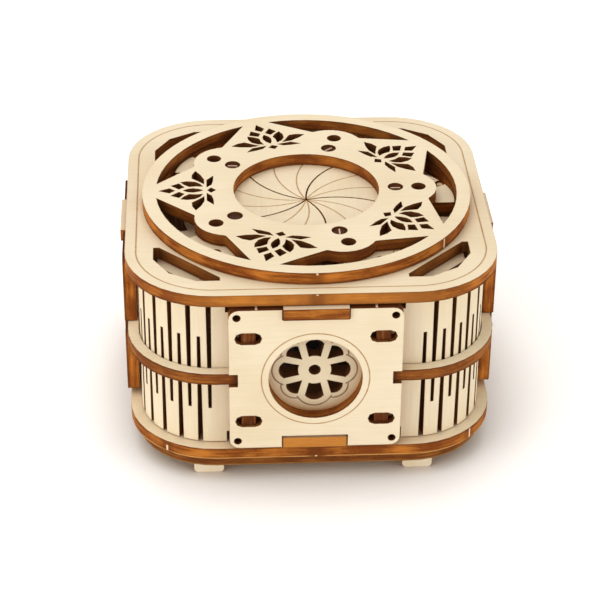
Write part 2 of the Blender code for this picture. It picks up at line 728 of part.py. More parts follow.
def build_lid(wood):
    """The lid: a round hole for the iris, and a slot in each corner with straight sides."""
    edge = HALF - LID_SLOT_INSET
    chord = LID_SLOT_CHORD * math.sqrt(2) - LID_SLOT_END
    corner = LID_SLOT_CORNER_AT / math.sqrt(2)
    slot = [(edge, LID_SLOT_END), (edge, LID_SLOT_BEND), (corner, corner), (LID_SLOT_BEND, edge)]
    slot += [(LID_SLOT_END, edge), (LID_SLOT_END, chord), (chord, LID_SLOT_END)]
    loops = [rounded_square(HALF, CORNER_RADIUS), circle(LID_HOLE_RADIUS, RIM_STEPS)]
    loops += [turned(slot, quarter * math.pi / 2) for quarter in range(4)]
    flat_sheet("lid", loops, LID_Z, wood)


# The star plate, the iris blades and their pins


def crescent():
    """One opening between two points of the star, round its bump, about the X axis."""
    centre = STAR_BUMP_REACH - STAR_BUMP_RADIUS
    spread = math.asin(STAR_SHOULDER_Y / STAR_BUMP_RADIUS)
    points = arc((0.0, 0.0), STAR_RIM_INNER, -STAR_TIP_ANGLE, STAR_TIP_ANGLE, SMALL_STEPS)
    bump = arc((centre, 0.0), STAR_BUMP_RADIUS, spread * 4 / 5, -spread * 4 / 5, SMALL_STEPS // 2)
    shoulder = rounded_corner(points[-1], (STAR_SHOULDER_X, STAR_SHOULDER_Y), bump[0], STAR_SHOULDER_ROUND)
    return points + shoulder + bump + [(x, -y) for x, y in reversed(shoulder)]


def rounded_corner(before, corner, after, radius):
    """Points that round the corner between two straight edges."""
    middle = Vector(corner)
    back = (Vector(before) - middle).normalized()
    ahead = (Vector(after) - middle).normalized()
    half = back.angle(ahead) / 2
    centre = middle + (back + ahead).normalized() * (radius / math.sin(half))
    inward = (middle - centre).normalized()
    swing = math.pi / 2 - half
    way = 1 if back.cross(ahead) < 0 else -1
    start = math.atan2(inward.y, inward.x)
    return arc(centre, radius, start - way * swing, start + way * swing, SMALL_STEPS // 4)


def lotus():
    """The cuts of one lotus about the X axis."""
    whole = (LOTUS_TIP_SHARES, LOTUS_HEART_SHARES, LOTUS_SEED_SHARES)
    paired = (LOTUS_SIDE_SHARES, LOTUS_PETAL_SHARES, LOTUS_WING_SHARES, LOTUS_LEAF_SHARES)
    cuts = [[(u * STAR_RIM_INNER, v * STAR_RIM_INNER) for u, v in shares] for shares in whole]
    for shares in paired:
        for hand in (-1, 1):
            cuts.append([(u * STAR_RIM_INNER, hand * v * STAR_RIM_INNER) for u, v in shares])
    return cuts


def build_star(wood, pivot):
    """The star plate that is turned by hand, and the ring under its rim that centres it in the lid."""
    step = 2 * math.pi / POINTS
    loops = [circle(STAR_RADIUS, RIM_STEPS), circle(STAR_WINDOW_RADIUS, CIRCLE_STEPS)]
    for number in range(POINTS):
        angle = number * step
        loops.append(turned(crescent(), angle))
        loops += [turned(cut, angle + step / 2) for cut in lotus()]
        pegs = ((PIVOT_AT, PIVOT_PIN_RADIUS + GAP), (STAR_OUTER_HOLE_AT, STAR_OUTER_HOLE_RADIUS))
        for reach, radius in pegs:
            hole = (reach * math.cos(angle), reach * math.sin(angle))
            loops.append(circle(radius, PIN_STEPS, hole))
    flat_sheet("star_plate", loops, STAR_Z, wood, parent=pivot)
    rings = [circle(RING_OUTER, RIM_STEPS), circle(RING_INNER, RIM_STEPS)]
    flat_sheet("centring_ring", rings, LID_Z, wood, parent=pivot)


def blade_outline():
    """One blade about its pivot, with that pivot on +X from the middle of the iris.

    Its convex edge is a circle round its own pivot through the middle of the iris, and its hollow edge is
    the next blade's circle, so five alike blades close the window and slide past each other in one plane.
    Its back lies along the inside of the centring ring when the iris is open.
    """
    pivot = (PIVOT_AT, 0.0)
    step = 2 * math.pi / POINTS
    other = (PIVOT_AT * math.cos(step), -PIVOT_AT * math.sin(step))
    own = PIVOT_AT - BLADE_SPLIT
    near = PIVOT_AT + BLADE_SPLIT
    ring = RING_INNER - BLADE_RING_CLEARANCE
    tail = ring - PIVOT_AT
    back, heel = turned([(-PIVOT_AT, 0.0), (tail, 0.0)], BLADE_TRAVEL)
    opened = (pivot[0] + back[0], back[1])
    heel = (pivot[0] + heel[0], heel[1])
    tip = meet(pivot, own, other, near, -1)
    shoulder = meet(pivot, own, opened, ring, -1)
    points = between(pivot, own, tip, shoulder, -1, SMALL_STEPS)
    points += between(opened, ring, shoulder, heel, -1, SMALL_STEPS)[1:-1]
    points += tail_edge(pivot, tail, heel)
    low = math.asin(BLADE_TAIL_LOW / BLADE_BOSS_RADIUS)
    toward = math.atan2(other[1] - pivot[1], other[0] - pivot[0])
    points += arc(pivot, BLADE_BOSS_RADIUS, -low, toward, SMALL_STEPS // 2)
    neck = (other[0] - near * math.cos(toward), other[1] - near * math.sin(toward))
    points += between(other, near, neck, tip, 1, SMALL_STEPS)[:-1]
    return [(x - pivot[0], y - pivot[1]) for x, y in points]


def tail_edge(pivot, radius, heel):
    """The round end of the blade's tail, with the open notch that the fixed drive pin slides in."""
    pin = [drive_pin_seen(share / SMALL_STEPS) for share in range(SMALL_STEPS + 1)]
    turns = [math.atan2(y, x) for x, y in pin]
    turn = (min(turns) + max(turns)) / 2
    half = DRIVE_PIN_RADIUS + DRIVE_NOTCH_FIT
    mouth = math.asin(half / radius)
    depth = min(math.hypot(x, y) for x, y in pin) - SLOT_FIT
    c, s = math.cos(turn), math.sin(turn)
    bottom = (pivot[0] + depth * c, pivot[1] + depth * s)
    high = math.atan2(heel[1] - pivot[1], heel[0] - pivot[0])
    low = math.asin(BLADE_TAIL_LOW / radius)
    points = arc(pivot, radius, high, turn + mouth, SMALL_STEPS // 3)
    points += arc(bottom, half, turn + math.pi / 2, turn + 3 * math.pi / 2, SMALL_STEPS // 2)
    points += arc(pivot, radius, turn - mouth, -low, SMALL_STEPS // 2)
    return points


def drive_pin_seen(share):
    """The drive pin's place from the blade's pivot, as the blade turns by a share of its travel."""
    angle = DRIVE_PIN_ANGLE - share * STAR_TRAVEL
    place = (DRIVE_PIN_AT * math.cos(angle) - PIVOT_AT, DRIVE_PIN_AT * math.sin(angle))
    return turned([place], share * BLADE_TRAVEL)[0]


def meet(centre_a, radius_a, centre_b, radius_b, hand):
    """Where two circles meet, left (1) or right (-1) of the line from the first centre to the second."""
    a, b = Vector(centre_a), Vector(centre_b)
    line = b - a
    along = (radius_a**2 - radius_b**2 + line.length**2) / (2 * line.length)
    aside = math.sqrt(radius_a**2 - along**2)
    unit = line.normalized()
    place = a + unit * along + Vector((-unit.y, unit.x)) * aside * hand
    return place.x, place.y


def between(centre, radius, start, end, way, steps):
    """The arc round a centre from one point to another, to the left (1) or to the right (-1)."""
    first = math.atan2(start[1] - centre[1], start[0] - centre[0])
    swing = (way * (math.atan2(end[1] - centre[1], end[0] - centre[0]) - first)) % (2 * math.pi)
    return arc(centre, radius, first, first + way * swing, steps)


def build_iris(wood, dowel, pivot):
    """Five blades on pivot pins that hang from the star plate, and five fixed drive pins in the top frame."""
    step = 2 * math.pi / POINTS
    for number in range(POINTS):
        angle = number * step
        place = Matrix.Rotation(angle, 4, "Z") @ Matrix.Translation((PIVOT_AT, 0.0, LID_Z))
        loops = [blade_outline(), circle(PIVOT_PIN_RADIUS + GAP, PIN_STEPS)]
        flat_sheet(f"iris_blade_{number + 1}", loops, 0.0, wood, place=place)
        length = STAR_TOP - PIVOT_PIN_RECESS - LID_Z
        mesh = turned_mesh("pivot_pin", [(0.0, PIVOT_PIN_RADIUS), (length, PIVOT_PIN_RADIUS)], PIN_STEPS)
        add_object(f"pivot_pin_{number + 1}", mesh, dowel, place, pivot)
        angle += DRIVE_PIN_ANGLE
        place = Matrix.Rotation(angle, 4, "Z") @ Matrix.Translation((DRIVE_PIN_AT, 0.0, TOP_FRAME_Z))
        length = LID_Z + SHEET - DRIVE_PIN_DROP - TOP_FRAME_Z
        mesh = turned_mesh("drive_pin", [(0.0, DRIVE_PIN_RADIUS), (length, DRIVE_PIN_RADIUS)], PIN_STEPS)
        add_object(f"drive_pin_{number + 1}", mesh, dowel, place)


# The movement and its crank


def cheek(name, x, y_middle, width, top, hole_z, hole_radius):
    """An upright metal cheek across X, with a bearing hole."""
    low = WALL_Z + SHEET + GAP
    outline = box_outline(-width / 2, width / 2, low + MOVEMENT_PLATE / 2, top)
    hole = circle(hole_radius, SMALL_STEPS, (0.0, hole_z))
    stand = Matrix.Rotation(math.pi / 2, 4, "Z") @ Matrix.Rotation(math.pi / 2, 4, "X")
    place = Matrix.Translation((x, y_middle, 0.0)) @ stand
    return add_object(name, sheet_mesh(name, [outline, hole], 0.0, CHEEK_THICKNESS), None, place)


def build_movement(steel, brass):
    """The movement's frame, with the comb screwed to it and the pinned drum and its wheel across it."""
    low = WALL_Z + SHEET + GAP
    plate_top = low + MOVEMENT_PLATE
    near, far = (MOVEMENT_X[0], MOVEMENT_Y[0], low), (MOVEMENT_X[1], MOVEMENT_Y[1], plate_top)
    frame = add_object("movement_frame", bar_mesh("movement_frame", near, far), steel)
    drum_end = DRUM_START + DRUM_LENGTH
    cheek_top = DRUM_Z + CHEEK_WIDTH / 2
    bearing = AXLE_RADIUS + GAP
    wheel_side = -WHEEL_THICKNESS / 2 - 2 * GAP - CHEEK_THICKNESS
    left_x = wheel_side - CHEEK_CLEAR
    right_x = drum_end + CHEEK_CLEAR
    blocks = [
        cheek("cheek_block_left", left_x, 0.0, CHEEK_WIDTH, cheek_top, DRUM_Z, bearing),
        cheek("cheek_block_right", right_x, 0.0, CHEEK_WIDTH, cheek_top, DRUM_Z, bearing),
    ]
    for number, y in enumerate((POST_AT, -POST_AT - CHEEK_THICKNESS)):
        half = POST_WIDTH / 2
        outline = box_outline(-half, half, low + MOVEMENT_PLATE / 2, MIDDLE_Z + half)
        hole = circle(SHAFT_RADIUS + GAP, SMALL_STEPS, (0.0, MIDDLE_Z))
        place = Matrix.Translation((0.0, y + CHEEK_THICKNESS, 0.0)) @ Matrix.Rotation(math.pi / 2, 4, "X")
        mesh = sheet_mesh(f"post_block_{number}", [outline, hole], 0.0, CHEEK_THICKNESS)
        blocks.append(add_object(f"post_block_{number}", mesh, None, place))
    comb_tip = -(DRUM_RADIUS + DRUM_PIN_RISE + COMB_TIP_GAP)
    seat_front = comb_tip - COMB_LENGTH
    seat_top = DRUM_Z - COMB_THICKNESS / 2 - GAP
    seat = bar_mesh(
        "seat_block",
        (DRUM_START, seat_front, low + MOVEMENT_PLATE / 2),
        (drum_end, seat_front + COMB_ROOT, seat_top),
    )
    blocks.append(add_object("seat_block", seat, None))
    join(frame, blocks)

    screws = [DRUM_START + DRUM_LENGTH * share for share in (1 / 4, 3 / 4)]
    comb_low = DRUM_Z - COMB_THICKNESS / 2
    flat_sheet("comb", comb_loops(comb_tip, screws), comb_low, steel, thickness=COMB_THICKNESS)
    screw_y = seat_front + COMB_ROOT / 2
    for number, x in enumerate(screws):
        head = COMB_THICKNESS + GAP
        profile = [
            (0.0, SCREW_RADIUS),
            (head, SCREW_RADIUS),
            (head, SCREW_HEAD_RADIUS),
            (head + SCREW_HEAD_HEIGHT / 2, SCREW_HEAD_RADIUS),
            (head + SCREW_HEAD_HEIGHT, SCREW_RADIUS),
        ]
        place = Matrix.Translation((x, screw_y, comb_low))
        add_object(f"comb_screw_{number + 1}", turned_mesh("comb_screw", profile, SMALL_STEPS), steel, place)
    build_drum(brass, left_x, right_x)


def comb_loops(tip, screws):
    """The comb: a thick root with two screw holes, and teeth that reach the drum."""
    end = DRUM_START + DRUM_LENGTH
    pitch = DRUM_LENGTH / COMB_TEETH
    root = tip - COMB_LENGTH
    slit_end = root + COMB_ROOT + COMB_SLIT_SHORT
    points = [(end, root), (end, tip)]
    for number in range(COMB_TEETH - 1, 0, -1):
        x = DRUM_START + number * pitch
        points += [(x + COMB_SLIT / 2, tip), (x + COMB_SLIT / 2, slit_end)]
        points += [(x - COMB_SLIT / 2, slit_end), (x - COMB_SLIT / 2, tip)]
    points += [(DRUM_START, tip), (DRUM_START, root)]
    holes = [circle(SCREW_RADIUS + GAP, SMALL_STEPS, (x, root + COMB_ROOT / 2)) for x in screws]
    return [points] + holes


def build_drum(brass, left_x, right_x):
    """The pinned drum on its axle, and the wheel that the worm drives, both along X."""
    along = Matrix.Translation((0.0, 0.0, DRUM_Z)) @ Matrix.Rotation(math.pi / 2, 4, "Y")
    end = DRUM_START + DRUM_LENGTH
    tail = left_x - AXLE_END
    nose = right_x + CHEEK_THICKNESS + AXLE_END
    profile = [(tail, AXLE_RADIUS), (DRUM_START, AXLE_RADIUS), (DRUM_START, DRUM_RADIUS)]
    profile += [(end, DRUM_RADIUS), (end, AXLE_RADIUS), (nose, AXLE_RADIUS)]
    drum = add_object("music_drum", turned_mesh("music_drum", profile, TURNED_STEPS), brass, along)
    pins = bmesh.new()
    height = DRUM_PIN_RISE + DRUM_PIN_ROOT
    middle = DRUM_RADIUS + DRUM_PIN_RISE - height / 2
    for number in range(DRUM_PINS):
        turn = Matrix.Rotation(number * 2 * math.pi / DRUM_PINS, 4, "X")
        track = (number * DRUM_TRACK_STEP % DRUM_TRACKS + 1 / 2) / DRUM_TRACKS
        place = turn @ Matrix.Translation((DRUM_START + DRUM_LENGTH * track, 0.0, middle))
        scale = Matrix.Diagonal((DRUM_PIN_WIDTH, DRUM_PIN_WIDTH, height, 1.0))
        bmesh.ops.create_cube(pins, size=1.0, matrix=place @ scale)
    mesh = bpy.data.meshes.new("drum_pins")
    pins.to_mesh(mesh)
    pins.free()
    join(drum, [add_object("drum_pins", mesh, None, Matrix.Translation((0.0, 0.0, DRUM_Z)))])

    outline = []
    tooth = 2 * math.pi / WHEEL_TEETH
    for number in range(WHEEL_TEETH):
        for share, rise in WHEEL_TOOTH_SHARES:
            radius = WHEEL_ROOT_RADIUS + rise * (WHEEL_RADIUS - WHEEL_ROOT_RADIUS)
            outline += turned([(radius, 0.0)], (number + share) * tooth)
    bore = circle(AXLE_RADIUS + GAP, SMALL_STEPS)
    flat_sheet(
        "drum_wheel", [outline, bore], -WHEEL_THICKNESS / 2, brass, thickness=WHEEL_THICKNESS, place=along
    )


def build_crank(steel, wood, dowel):
    """The worm shaft from the movement out through the rear rosette, with the crank arm and its knob."""
    back = Matrix.Translation((0.0, 0.0, MIDDLE_Z)) @ Matrix.Rotation(-math.pi / 2, 4, "X")
    start = -POST_AT - CHEEK_THICKNESS - AXLE_END
    shaft_end = CRANK_Y + SHEET + CRANK_SHAFT_PROUD
    worm_start = -WORM_LENGTH / 2
    profile = [(start, SHAFT_RADIUS), (worm_start, SHAFT_RADIUS), (worm_start, WORM_ROOT_RADIUS)]
    rib = WORM_LENGTH / WORM_RIBS
    for number in range(WORM_RIBS):
        low = worm_start + number * rib
        profile += [(low + rib / 3, WORM_RADIUS), (low + rib * 2 / 3, WORM_RADIUS)]
        profile += [(low + rib, WORM_ROOT_RADIUS)]
    profile += [(WORM_LENGTH / 2, SHAFT_RADIUS), (shaft_end, SHAFT_RADIUS)]
    add_object("worm_shaft", turned_mesh("worm_shaft", profile, PIN_STEPS), steel, back)

    slope = math.asin((CRANK_HUB_RADIUS - CRANK_END_RADIUS) / CRANK_THROW)
    end = arc((0.0, -CRANK_THROW), CRANK_END_RADIUS, math.pi - slope, 2 * math.pi + slope, SMALL_STEPS)
    hub = arc((0.0, 0.0), CRANK_HUB_RADIUS, slope, math.pi - slope, SMALL_STEPS)
    holes = [circle(SHAFT_RADIUS + GAP, SMALL_STEPS)]
    holes.append(circle(KNOB_PIN_RADIUS + GAP, SMALL_STEPS, (0.0, -CRANK_THROW)))
    place = Matrix.Translation((0.0, CRANK_Y + SHEET, MIDDLE_Z)) @ Matrix.Rotation(math.pi / 2, 4, "X")
    flat_sheet("crank_arm", [hub + end] + holes, 0.0, wood, place=place)

    place = Matrix.Translation((0.0, CRANK_Y, KNOB_Z)) @ Matrix.Rotation(-math.pi / 2, 4, "X")
    pin_end = SHEET + GAP + KNOB_LENGTH / 2
    mesh = turned_mesh("knob_pin", [(0.0, KNOB_PIN_RADIUS), (pin_end, KNOB_PIN_RADIUS)], SMALL_STEPS)
    add_object("knob_pin", mesh, dowel, place)
    start = SHEET + GAP
    bore = KNOB_PIN_RADIUS + GAP
    profile = [
        (pin_end + GAP, 0.0),
        (pin_end + GAP, bore),
        (start, bore),
        (start, KNOB_NECK_RADIUS),
        (start + KNOB_LENGTH / 3, KNOB_NECK_RADIUS),
        (start + KNOB_LENGTH / 2, KNOB_RADIUS),
        (start + KNOB_LENGTH * 5 / 6, KNOB_RADIUS),
        (start + KNOB_LENGTH, KNOB_NECK_RADIUS),
        (start + KNOB_LENGTH, 0.0),
    ]
    add_object("crank_knob", capped_mesh("crank_knob", profile, SMALL_STEPS), dowel, place)


def capped_mesh(name, profile, steps):
    """A round piece whose profile starts and ends on its axis."""
    body = bmesh.new()
    first = body.verts.new((0.0, 0.0, profile[0][0]))
    last = body.verts.new((0.0, 0.0, profile[-1][0]))
    rings = []
    for along, radius in profile[1:-1]:
        rings.append([body.verts.new((x, y, along)) for x, y in circle(radius, steps)])
    for low, high in zip(rings, rings[1:]):
        for k in range(steps):
            n = (k + 1) % steps
            body.faces.new((low[k], low[n], high[n], high[k]))
    for k in range(steps):
        n = (k + 1) % steps
        body.faces.new((first, rings[0][n], rings[0][k]))
        body.faces.new((last, rings[-1][k], rings[-1][n]))
    bmesh.ops.recalc_face_normals(body, faces=body.faces)
    mesh = bpy.data.meshes.new(name)
    body.to_mesh(mesh)
    body.free()
    return mesh


def centre_whole():
    """Moves the whole box forward, so that the origin lies under the middle of its full depth."""
    for thing in bpy.data.objects:
        if thing.parent is None:
            thing.matrix_world = Matrix.Translation((0.0, -FORWARD, 0.0)) @ thing.matrix_world


def main():
    clear_scene()
    pivot = bpy.data.objects.new("star_axis", None)
    bpy.context.scene.collection.objects.link(pivot)
    build_base(PLYWOOD)
    build_panels(PLYWOOD)
    build_corners(PLYWOOD)
    build_shelves(PLYWOOD)
    build_lid(PLYWOOD)
    build_star(PLYWOOD, pivot)
    build_iris(PLYWOOD, DOWEL, pivot)
    build_movement(STEEL, BRASS)
    build_crank(STEEL, PLYWOOD, DOWEL)
    bpy.context.view_layer.update()
    centre_whole()
    bpy.context.view_layer.update()


main()
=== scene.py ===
# %% [markdown]
# # A wooden puzzle music box
#
# The box is built from laser-cut birch plywood. Its flat faces are pale and silky, and every cut edge is
# scorched brown by the laser, so the whole look comes from two finishes that meet at each corner. The packed
# model gives every sheet its true place. Here the sheets get their finish, the small details that a cutting
# list leaves out are modelled, and the light and the camera are set up.

import math

import bpy
from mathutils import Matrix, Vector


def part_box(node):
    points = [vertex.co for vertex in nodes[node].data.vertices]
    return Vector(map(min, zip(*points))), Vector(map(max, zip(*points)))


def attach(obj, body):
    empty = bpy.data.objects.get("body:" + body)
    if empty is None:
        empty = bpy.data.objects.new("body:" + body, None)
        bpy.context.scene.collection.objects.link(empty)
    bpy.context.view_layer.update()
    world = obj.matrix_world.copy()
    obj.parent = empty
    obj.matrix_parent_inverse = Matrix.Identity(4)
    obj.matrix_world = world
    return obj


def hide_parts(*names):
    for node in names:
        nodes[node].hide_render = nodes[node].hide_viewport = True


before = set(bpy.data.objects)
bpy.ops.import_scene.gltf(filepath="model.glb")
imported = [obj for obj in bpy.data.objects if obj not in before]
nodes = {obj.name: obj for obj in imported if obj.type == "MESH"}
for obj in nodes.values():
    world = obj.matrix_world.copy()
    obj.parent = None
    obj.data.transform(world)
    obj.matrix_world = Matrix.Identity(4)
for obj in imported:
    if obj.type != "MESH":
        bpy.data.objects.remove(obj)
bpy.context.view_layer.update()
bpy.ops.object.select_all(action="DESELECT")

MM = 0.001
lid_low, lid_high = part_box("lid")
SHEET = lid_high.z - lid_low.z
AXIS = (lid_low + lid_high) / 2
LID_TOP = lid_high.z
HALF = (lid_high.x - lid_low.x) / 2
STAR_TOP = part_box("star_plate")[1].z
print(len(nodes), "sheets and pins, lid", round(2 * HALF / MM, 1), "mm wide, sheet", round(SHEET / MM, 2), "mm")

# %% [markdown]
# ## The camera
#
# The photograph looks down on the lid from the front at about a third of a right angle, with a long lens, so
# the far edge of the lid is only a little shorter than the near one. A camera is easiest to place from what it
# looks at: it stands back from that point along its own view direction, and a slight roll levels the picture.

# %% Camera
AZIMUTH = math.radians(-3.191)
ELEVATION = math.radians(31.989)
ROLL = math.radians(0.452)
DISTANCE = 638.2 * MM
TARGET = Vector((-1.62 * MM, AXIS.y + 0.17 * MM, 29.10 * MM))
LENS, SENSOR = 120.87, 36.0

back = Vector((
    math.sin(AZIMUTH) * math.cos(ELEVATION),
    -math.cos(AZIMUTH) * math.cos(ELEVATION),
    math.sin(ELEVATION),
))
right = Vector((math.cos(AZIMUTH), math.sin(AZIMUTH), 0.0))
up = back.cross(right)
rolled_right = right * math.cos(ROLL) + up * math.sin(ROLL)
rolled_up = up * math.cos(ROLL) - right * math.sin(ROLL)

camera_data = bpy.data.cameras.new("camera")
camera = bpy.data.objects.new("camera", camera_data)
bpy.context.scene.collection.objects.link(camera)
bpy.context.scene.camera = camera
turn = Matrix((rolled_right, rolled_up, back)).transposed()
camera.matrix_world = Matrix.Translation(TARGET + back * DISTANCE) @ turn.to_4x4()
camera_data.sensor_width = SENSOR
camera_data.lens = LENS
camera_data.clip_start = 10 * MM
camera_data.clip_end = 20.0
print("camera at", [round(v, 3) for v in camera.location])

# %% [markdown]
# ## The light and the floor
#
# The photograph is a product shot on white paper. The light is soft and comes from all round, with a little
# more from the front and the left, and the only shadow is a faint one on the paper, close to the box. A warm
# world gives the even light and looks white to the camera, and four large lamps shape it. The paper's colour is
# painted darker where an Ambient Occlusion node finds the box near, as a painted shadow, and it glows a little
# where it doesn't, so that it ends in plain white on every side.
#
# Materials are easier to read as sums than as boxes and wires. So a small class wraps a node's output and lets
# + - * / add the Math nodes, and another one holds a material while it is written.

# %% A socket that does its own maths
class Node:
    """Wraps an output socket of a material, so that finishes can be written as expressions."""

    def __init__(self, tree, socket):
        self.tree, self.socket = tree, socket

    def maths(self, operation, *values):
        """Adds one Math node on values or other sockets."""
        step = self.tree.nodes.new("ShaderNodeMath")
        step.operation = operation
        for slot, value in zip(step.inputs, values):
            if isinstance(value, Node):
                self.tree.links.new(value.socket, slot)
            else:
                slot.default_value = value
        return Node(self.tree, step.outputs[0])

    def __add__(self, other):
        return self.maths("ADD", self, other)

    def __radd__(self, other):
        return self.maths("ADD", other, self)

    def __sub__(self, other):
        return self.maths("SUBTRACT", self, other)

    def __rsub__(self, other):
        return self.maths("SUBTRACT", other, self)

    def __mul__(self, other):
        return self.maths("MULTIPLY", self, other)

    def __rmul__(self, other):
        return self.maths("MULTIPLY", other, self)

    def __truediv__(self, other):
        return self.maths("DIVIDE", self, other)

    def __abs__(self):
        return self.maths("ABSOLUTE", self)

    def sqrt(self):
        return self.maths("SQRT", self)

    def low(self, other):
        return self.maths("MINIMUM", self, other)

    def high(self, other):
        return self.maths("MAXIMUM", self, other)

    def step(self, low, high):
        """0 below low, 1 above high, and smooth between them."""
        node = self.tree.nodes.new("ShaderNodeMapRange")
        node.interpolation_type = "SMOOTHSTEP"
        self.tree.links.new(self.socket, node.inputs["Value"])
        node.inputs["From Min"].default_value = low
        node.inputs["From Max"].default_value = high
        return Node(self.tree, node.outputs["Result"])


def length(a, b):
    """The length of a vector with two parts."""
    return (a * a + b * b).sqrt()


# %% A material that is being written
class Finish:
    """A material that is being written: its tree, its shader, and a method that adds any node."""

    def __init__(self, name, roughness=0.5, metallic=0.0):
        self.material = bpy.data.materials.new(name)
        self.material.use_nodes = True
        self.tree = self.material.node_tree
        self.shader = self.tree.nodes["Principled BSDF"]
        self.shader.inputs["Roughness"].default_value = roughness
        self.shader.inputs["Metallic"].default_value = metallic

    def add(self, kind, settings=None, out=0, **values):
        """One node of a type, with its settings first and then its sockets' values or links."""
        node = self.tree.nodes.new(kind)
        for key, value in (settings or {}).items():
            setattr(node, key, value)
        for key, value in values.items():
            socket = node.inputs[key.replace("_", " ")]
            if isinstance(value, Node):
                self.tree.links.new(value.socket, socket)
            else:
                socket.default_value = value
        return Node(self.tree, node.outputs[out])

    def place(self, centre=(0.0, 0.0, 0.0)):
        """Object coordinates in millimetres from a centre, as a vector and as its three parts."""
        raw = self.add("ShaderNodeTexCoord", out="Object")
        moved = self.add("ShaderNodeVectorMath", {"operation": "SUBTRACT"})
        self.tree.links.new(raw.socket, moved.socket.node.inputs[0])
        moved.socket.node.inputs[1].default_value = centre
        scaled = self.add("ShaderNodeVectorMath", {"operation": "SCALE"}, Scale=1 / MM)
        self.tree.links.new(moved.socket, scaled.socket.node.inputs[0])
        return scaled, self.parts(scaled)

    def parts(self, vector):
        """The three parts of a vector."""
        node = self.tree.nodes.new("ShaderNodeSeparateXYZ")
        self.tree.links.new(vector.socket, node.inputs[0])
        return [Node(self.tree, node.outputs[k]) for k in range(3)]

    def join(self, x, y, z):
        """A vector from three numbers or sockets."""
        return self.add("ShaderNodeCombineXYZ", X=x, Y=y, Z=z)

    def noise(self, vector, scale, detail=3.0, roughness=0.5):
        """Smooth noise from 0 to 1."""
        return self.add("ShaderNodeTexNoise", Vector=vector, Scale=scale, Detail=detail, Roughness=roughness)

    def mix(self, share, low, high):
        """Mixes two colours by a share."""
        node = self.tree.nodes.new("ShaderNodeMix")
        node.data_type = "RGBA"
        for socket, value in ((node.inputs["Factor"], share), (node.inputs[6], low), (node.inputs[7], high)):
            if isinstance(value, Node):
                self.tree.links.new(value.socket, socket)
            elif isinstance(value, tuple):
                socket.default_value = (*value, 1.0)
            else:
                socket.default_value = value
        return Node(self.tree, node.outputs[2])

    def feed(self, name, value):
        """Links a value to one of the shader's sockets."""
        self.tree.links.new(value.socket, self.shader.inputs[name])

    def bump(self, height, strength, distance):
        """Lets a height shape the surface."""
        self.feed("Normal", self.add("ShaderNodeBump", Height=height, Strength=strength, Distance=distance))


print("a finish starts from", bpy.app.version_string, "nodes")

# %% World
WHITE = (1.0, 1.0, 1.0)
BLACK = (0.0, 0.0, 0.0)
WARM_SKY = (1.0, 0.955, 0.885)
AMBIENT = 0.58

world = bpy.data.worlds.new("studio")
bpy.context.scene.world = world
world.use_nodes = True
sky = world.node_tree
sky.nodes.clear()
rays = sky.nodes.new("ShaderNodeLightPath")
seen = Node(sky, rays.outputs["Is Camera Ray"])
seen = seen.high(Node(sky, rays.outputs["Is Glossy Ray"])).high(Node(sky, rays.outputs["Is Transmission Ray"]))
sky_light = sky.nodes.new("ShaderNodeBackground")
tint = sky.nodes.new("ShaderNodeMix")
tint.data_type = "RGBA"
tint.inputs[6].default_value = (*WARM_SKY, 1.0)
tint.inputs[7].default_value = (*WHITE, 1.0)
sky.links.new(seen.socket, tint.inputs["Factor"])
sky.links.new(tint.outputs[2], sky_light.inputs["Color"])
sky.links.new((seen * (1.0 - AMBIENT) + AMBIENT).socket, sky_light.inputs["Strength"])
sky_out = sky.nodes.new("ShaderNodeOutputWorld")
sky.links.new(sky_light.outputs[0], sky_out.inputs["Surface"])
print("the world lights at", AMBIENT)

# %% Lamps
LAMPS_LOOK_AT = Vector((0.0, 0.0, 30 * MM))


def lamp(name, place, energy, size):
    """A large square lamp that looks at the middle of the box."""
    data = bpy.data.lights.new(name, "AREA")
    data.energy = energy
    data.size = size
    thing = bpy.data.objects.new(name, data)
    bpy.context.scene.collection.objects.link(thing)
    thing.location = place
    thing.rotation_euler = (LAMPS_LOOK_AT - Vector(place)).to_track_quat("-Z", "Y").to_euler()
    print("lamp", name, energy, "W,", size, "m wide")


lamp("key", (-0.40, -0.25, 0.90), 2.5, 0.70)
lamp("front_left", (-0.93, -0.58, 0.26), 4.3, 0.60)
lamp("front_right", (0.93, -0.58, 0.26), 3.8, 0.60)
lamp("top", (-0.05, 0.45, 0.95), 2.4, 0.70)

# %% Floor
FLOOR_WIDTH = 6.0
PAPER = (0.95, 0.95, 0.95)
PAPER_SHADOW = (0.60, 0.53, 0.47)
SHADOW_REACH = 38 * MM
OPEN_GLOW = 0.24
FAR_GLOW = 0.6
FAR_FROM, FAR_TO = 300.0, 1100.0

bpy.ops.mesh.primitive_plane_add(size=FLOOR_WIDTH, location=(0.0, 0.0, 0.0))
floor = bpy.context.object
floor.name = "floor"
paper = Finish("white_paper", roughness=0.9)
# Painted shadow: the paper's colour turns to PAPER_SHADOW, and its glow fades, where the box is near.
open_sky = paper.add("ShaderNodeAmbientOcclusion", {"samples": 12}, out="AO", Distance=SHADOW_REACH)
open_sky = open_sky.step(0.15, 0.95)
paper.feed("Base Color", paper.mix(open_sky, PAPER_SHADOW, PAPER))
paper.shader.inputs["Specular IOR Level"].default_value = 0.0
path = paper.tree.nodes.new("ShaderNodeLightPath")
viewed = Node(paper.tree, path.outputs["Is Camera Ray"])
viewed = viewed.high(Node(paper.tree, path.outputs["Is Glossy Ray"]))
across_floor, along_floor, _ = paper.place()[1]
far = length(across_floor, along_floor).step(FAR_FROM, FAR_TO)
viewed = viewed.high(Node(paper.tree, path.outputs["Is Transmission Ray"]))
glow = viewed * (open_sky * OPEN_GLOW + far * FAR_GLOW)
paper.shader.inputs["Emission Strength"].default_value = 1.0
paper.feed("Emission Color", paper.mix(glow, BLACK, WHITE))
floor.data.materials.append(paper.material)
bpy.context.scene.view_settings.view_transform = "Standard"
print("floor", [round(v, 1) for v in floor.dimensions])
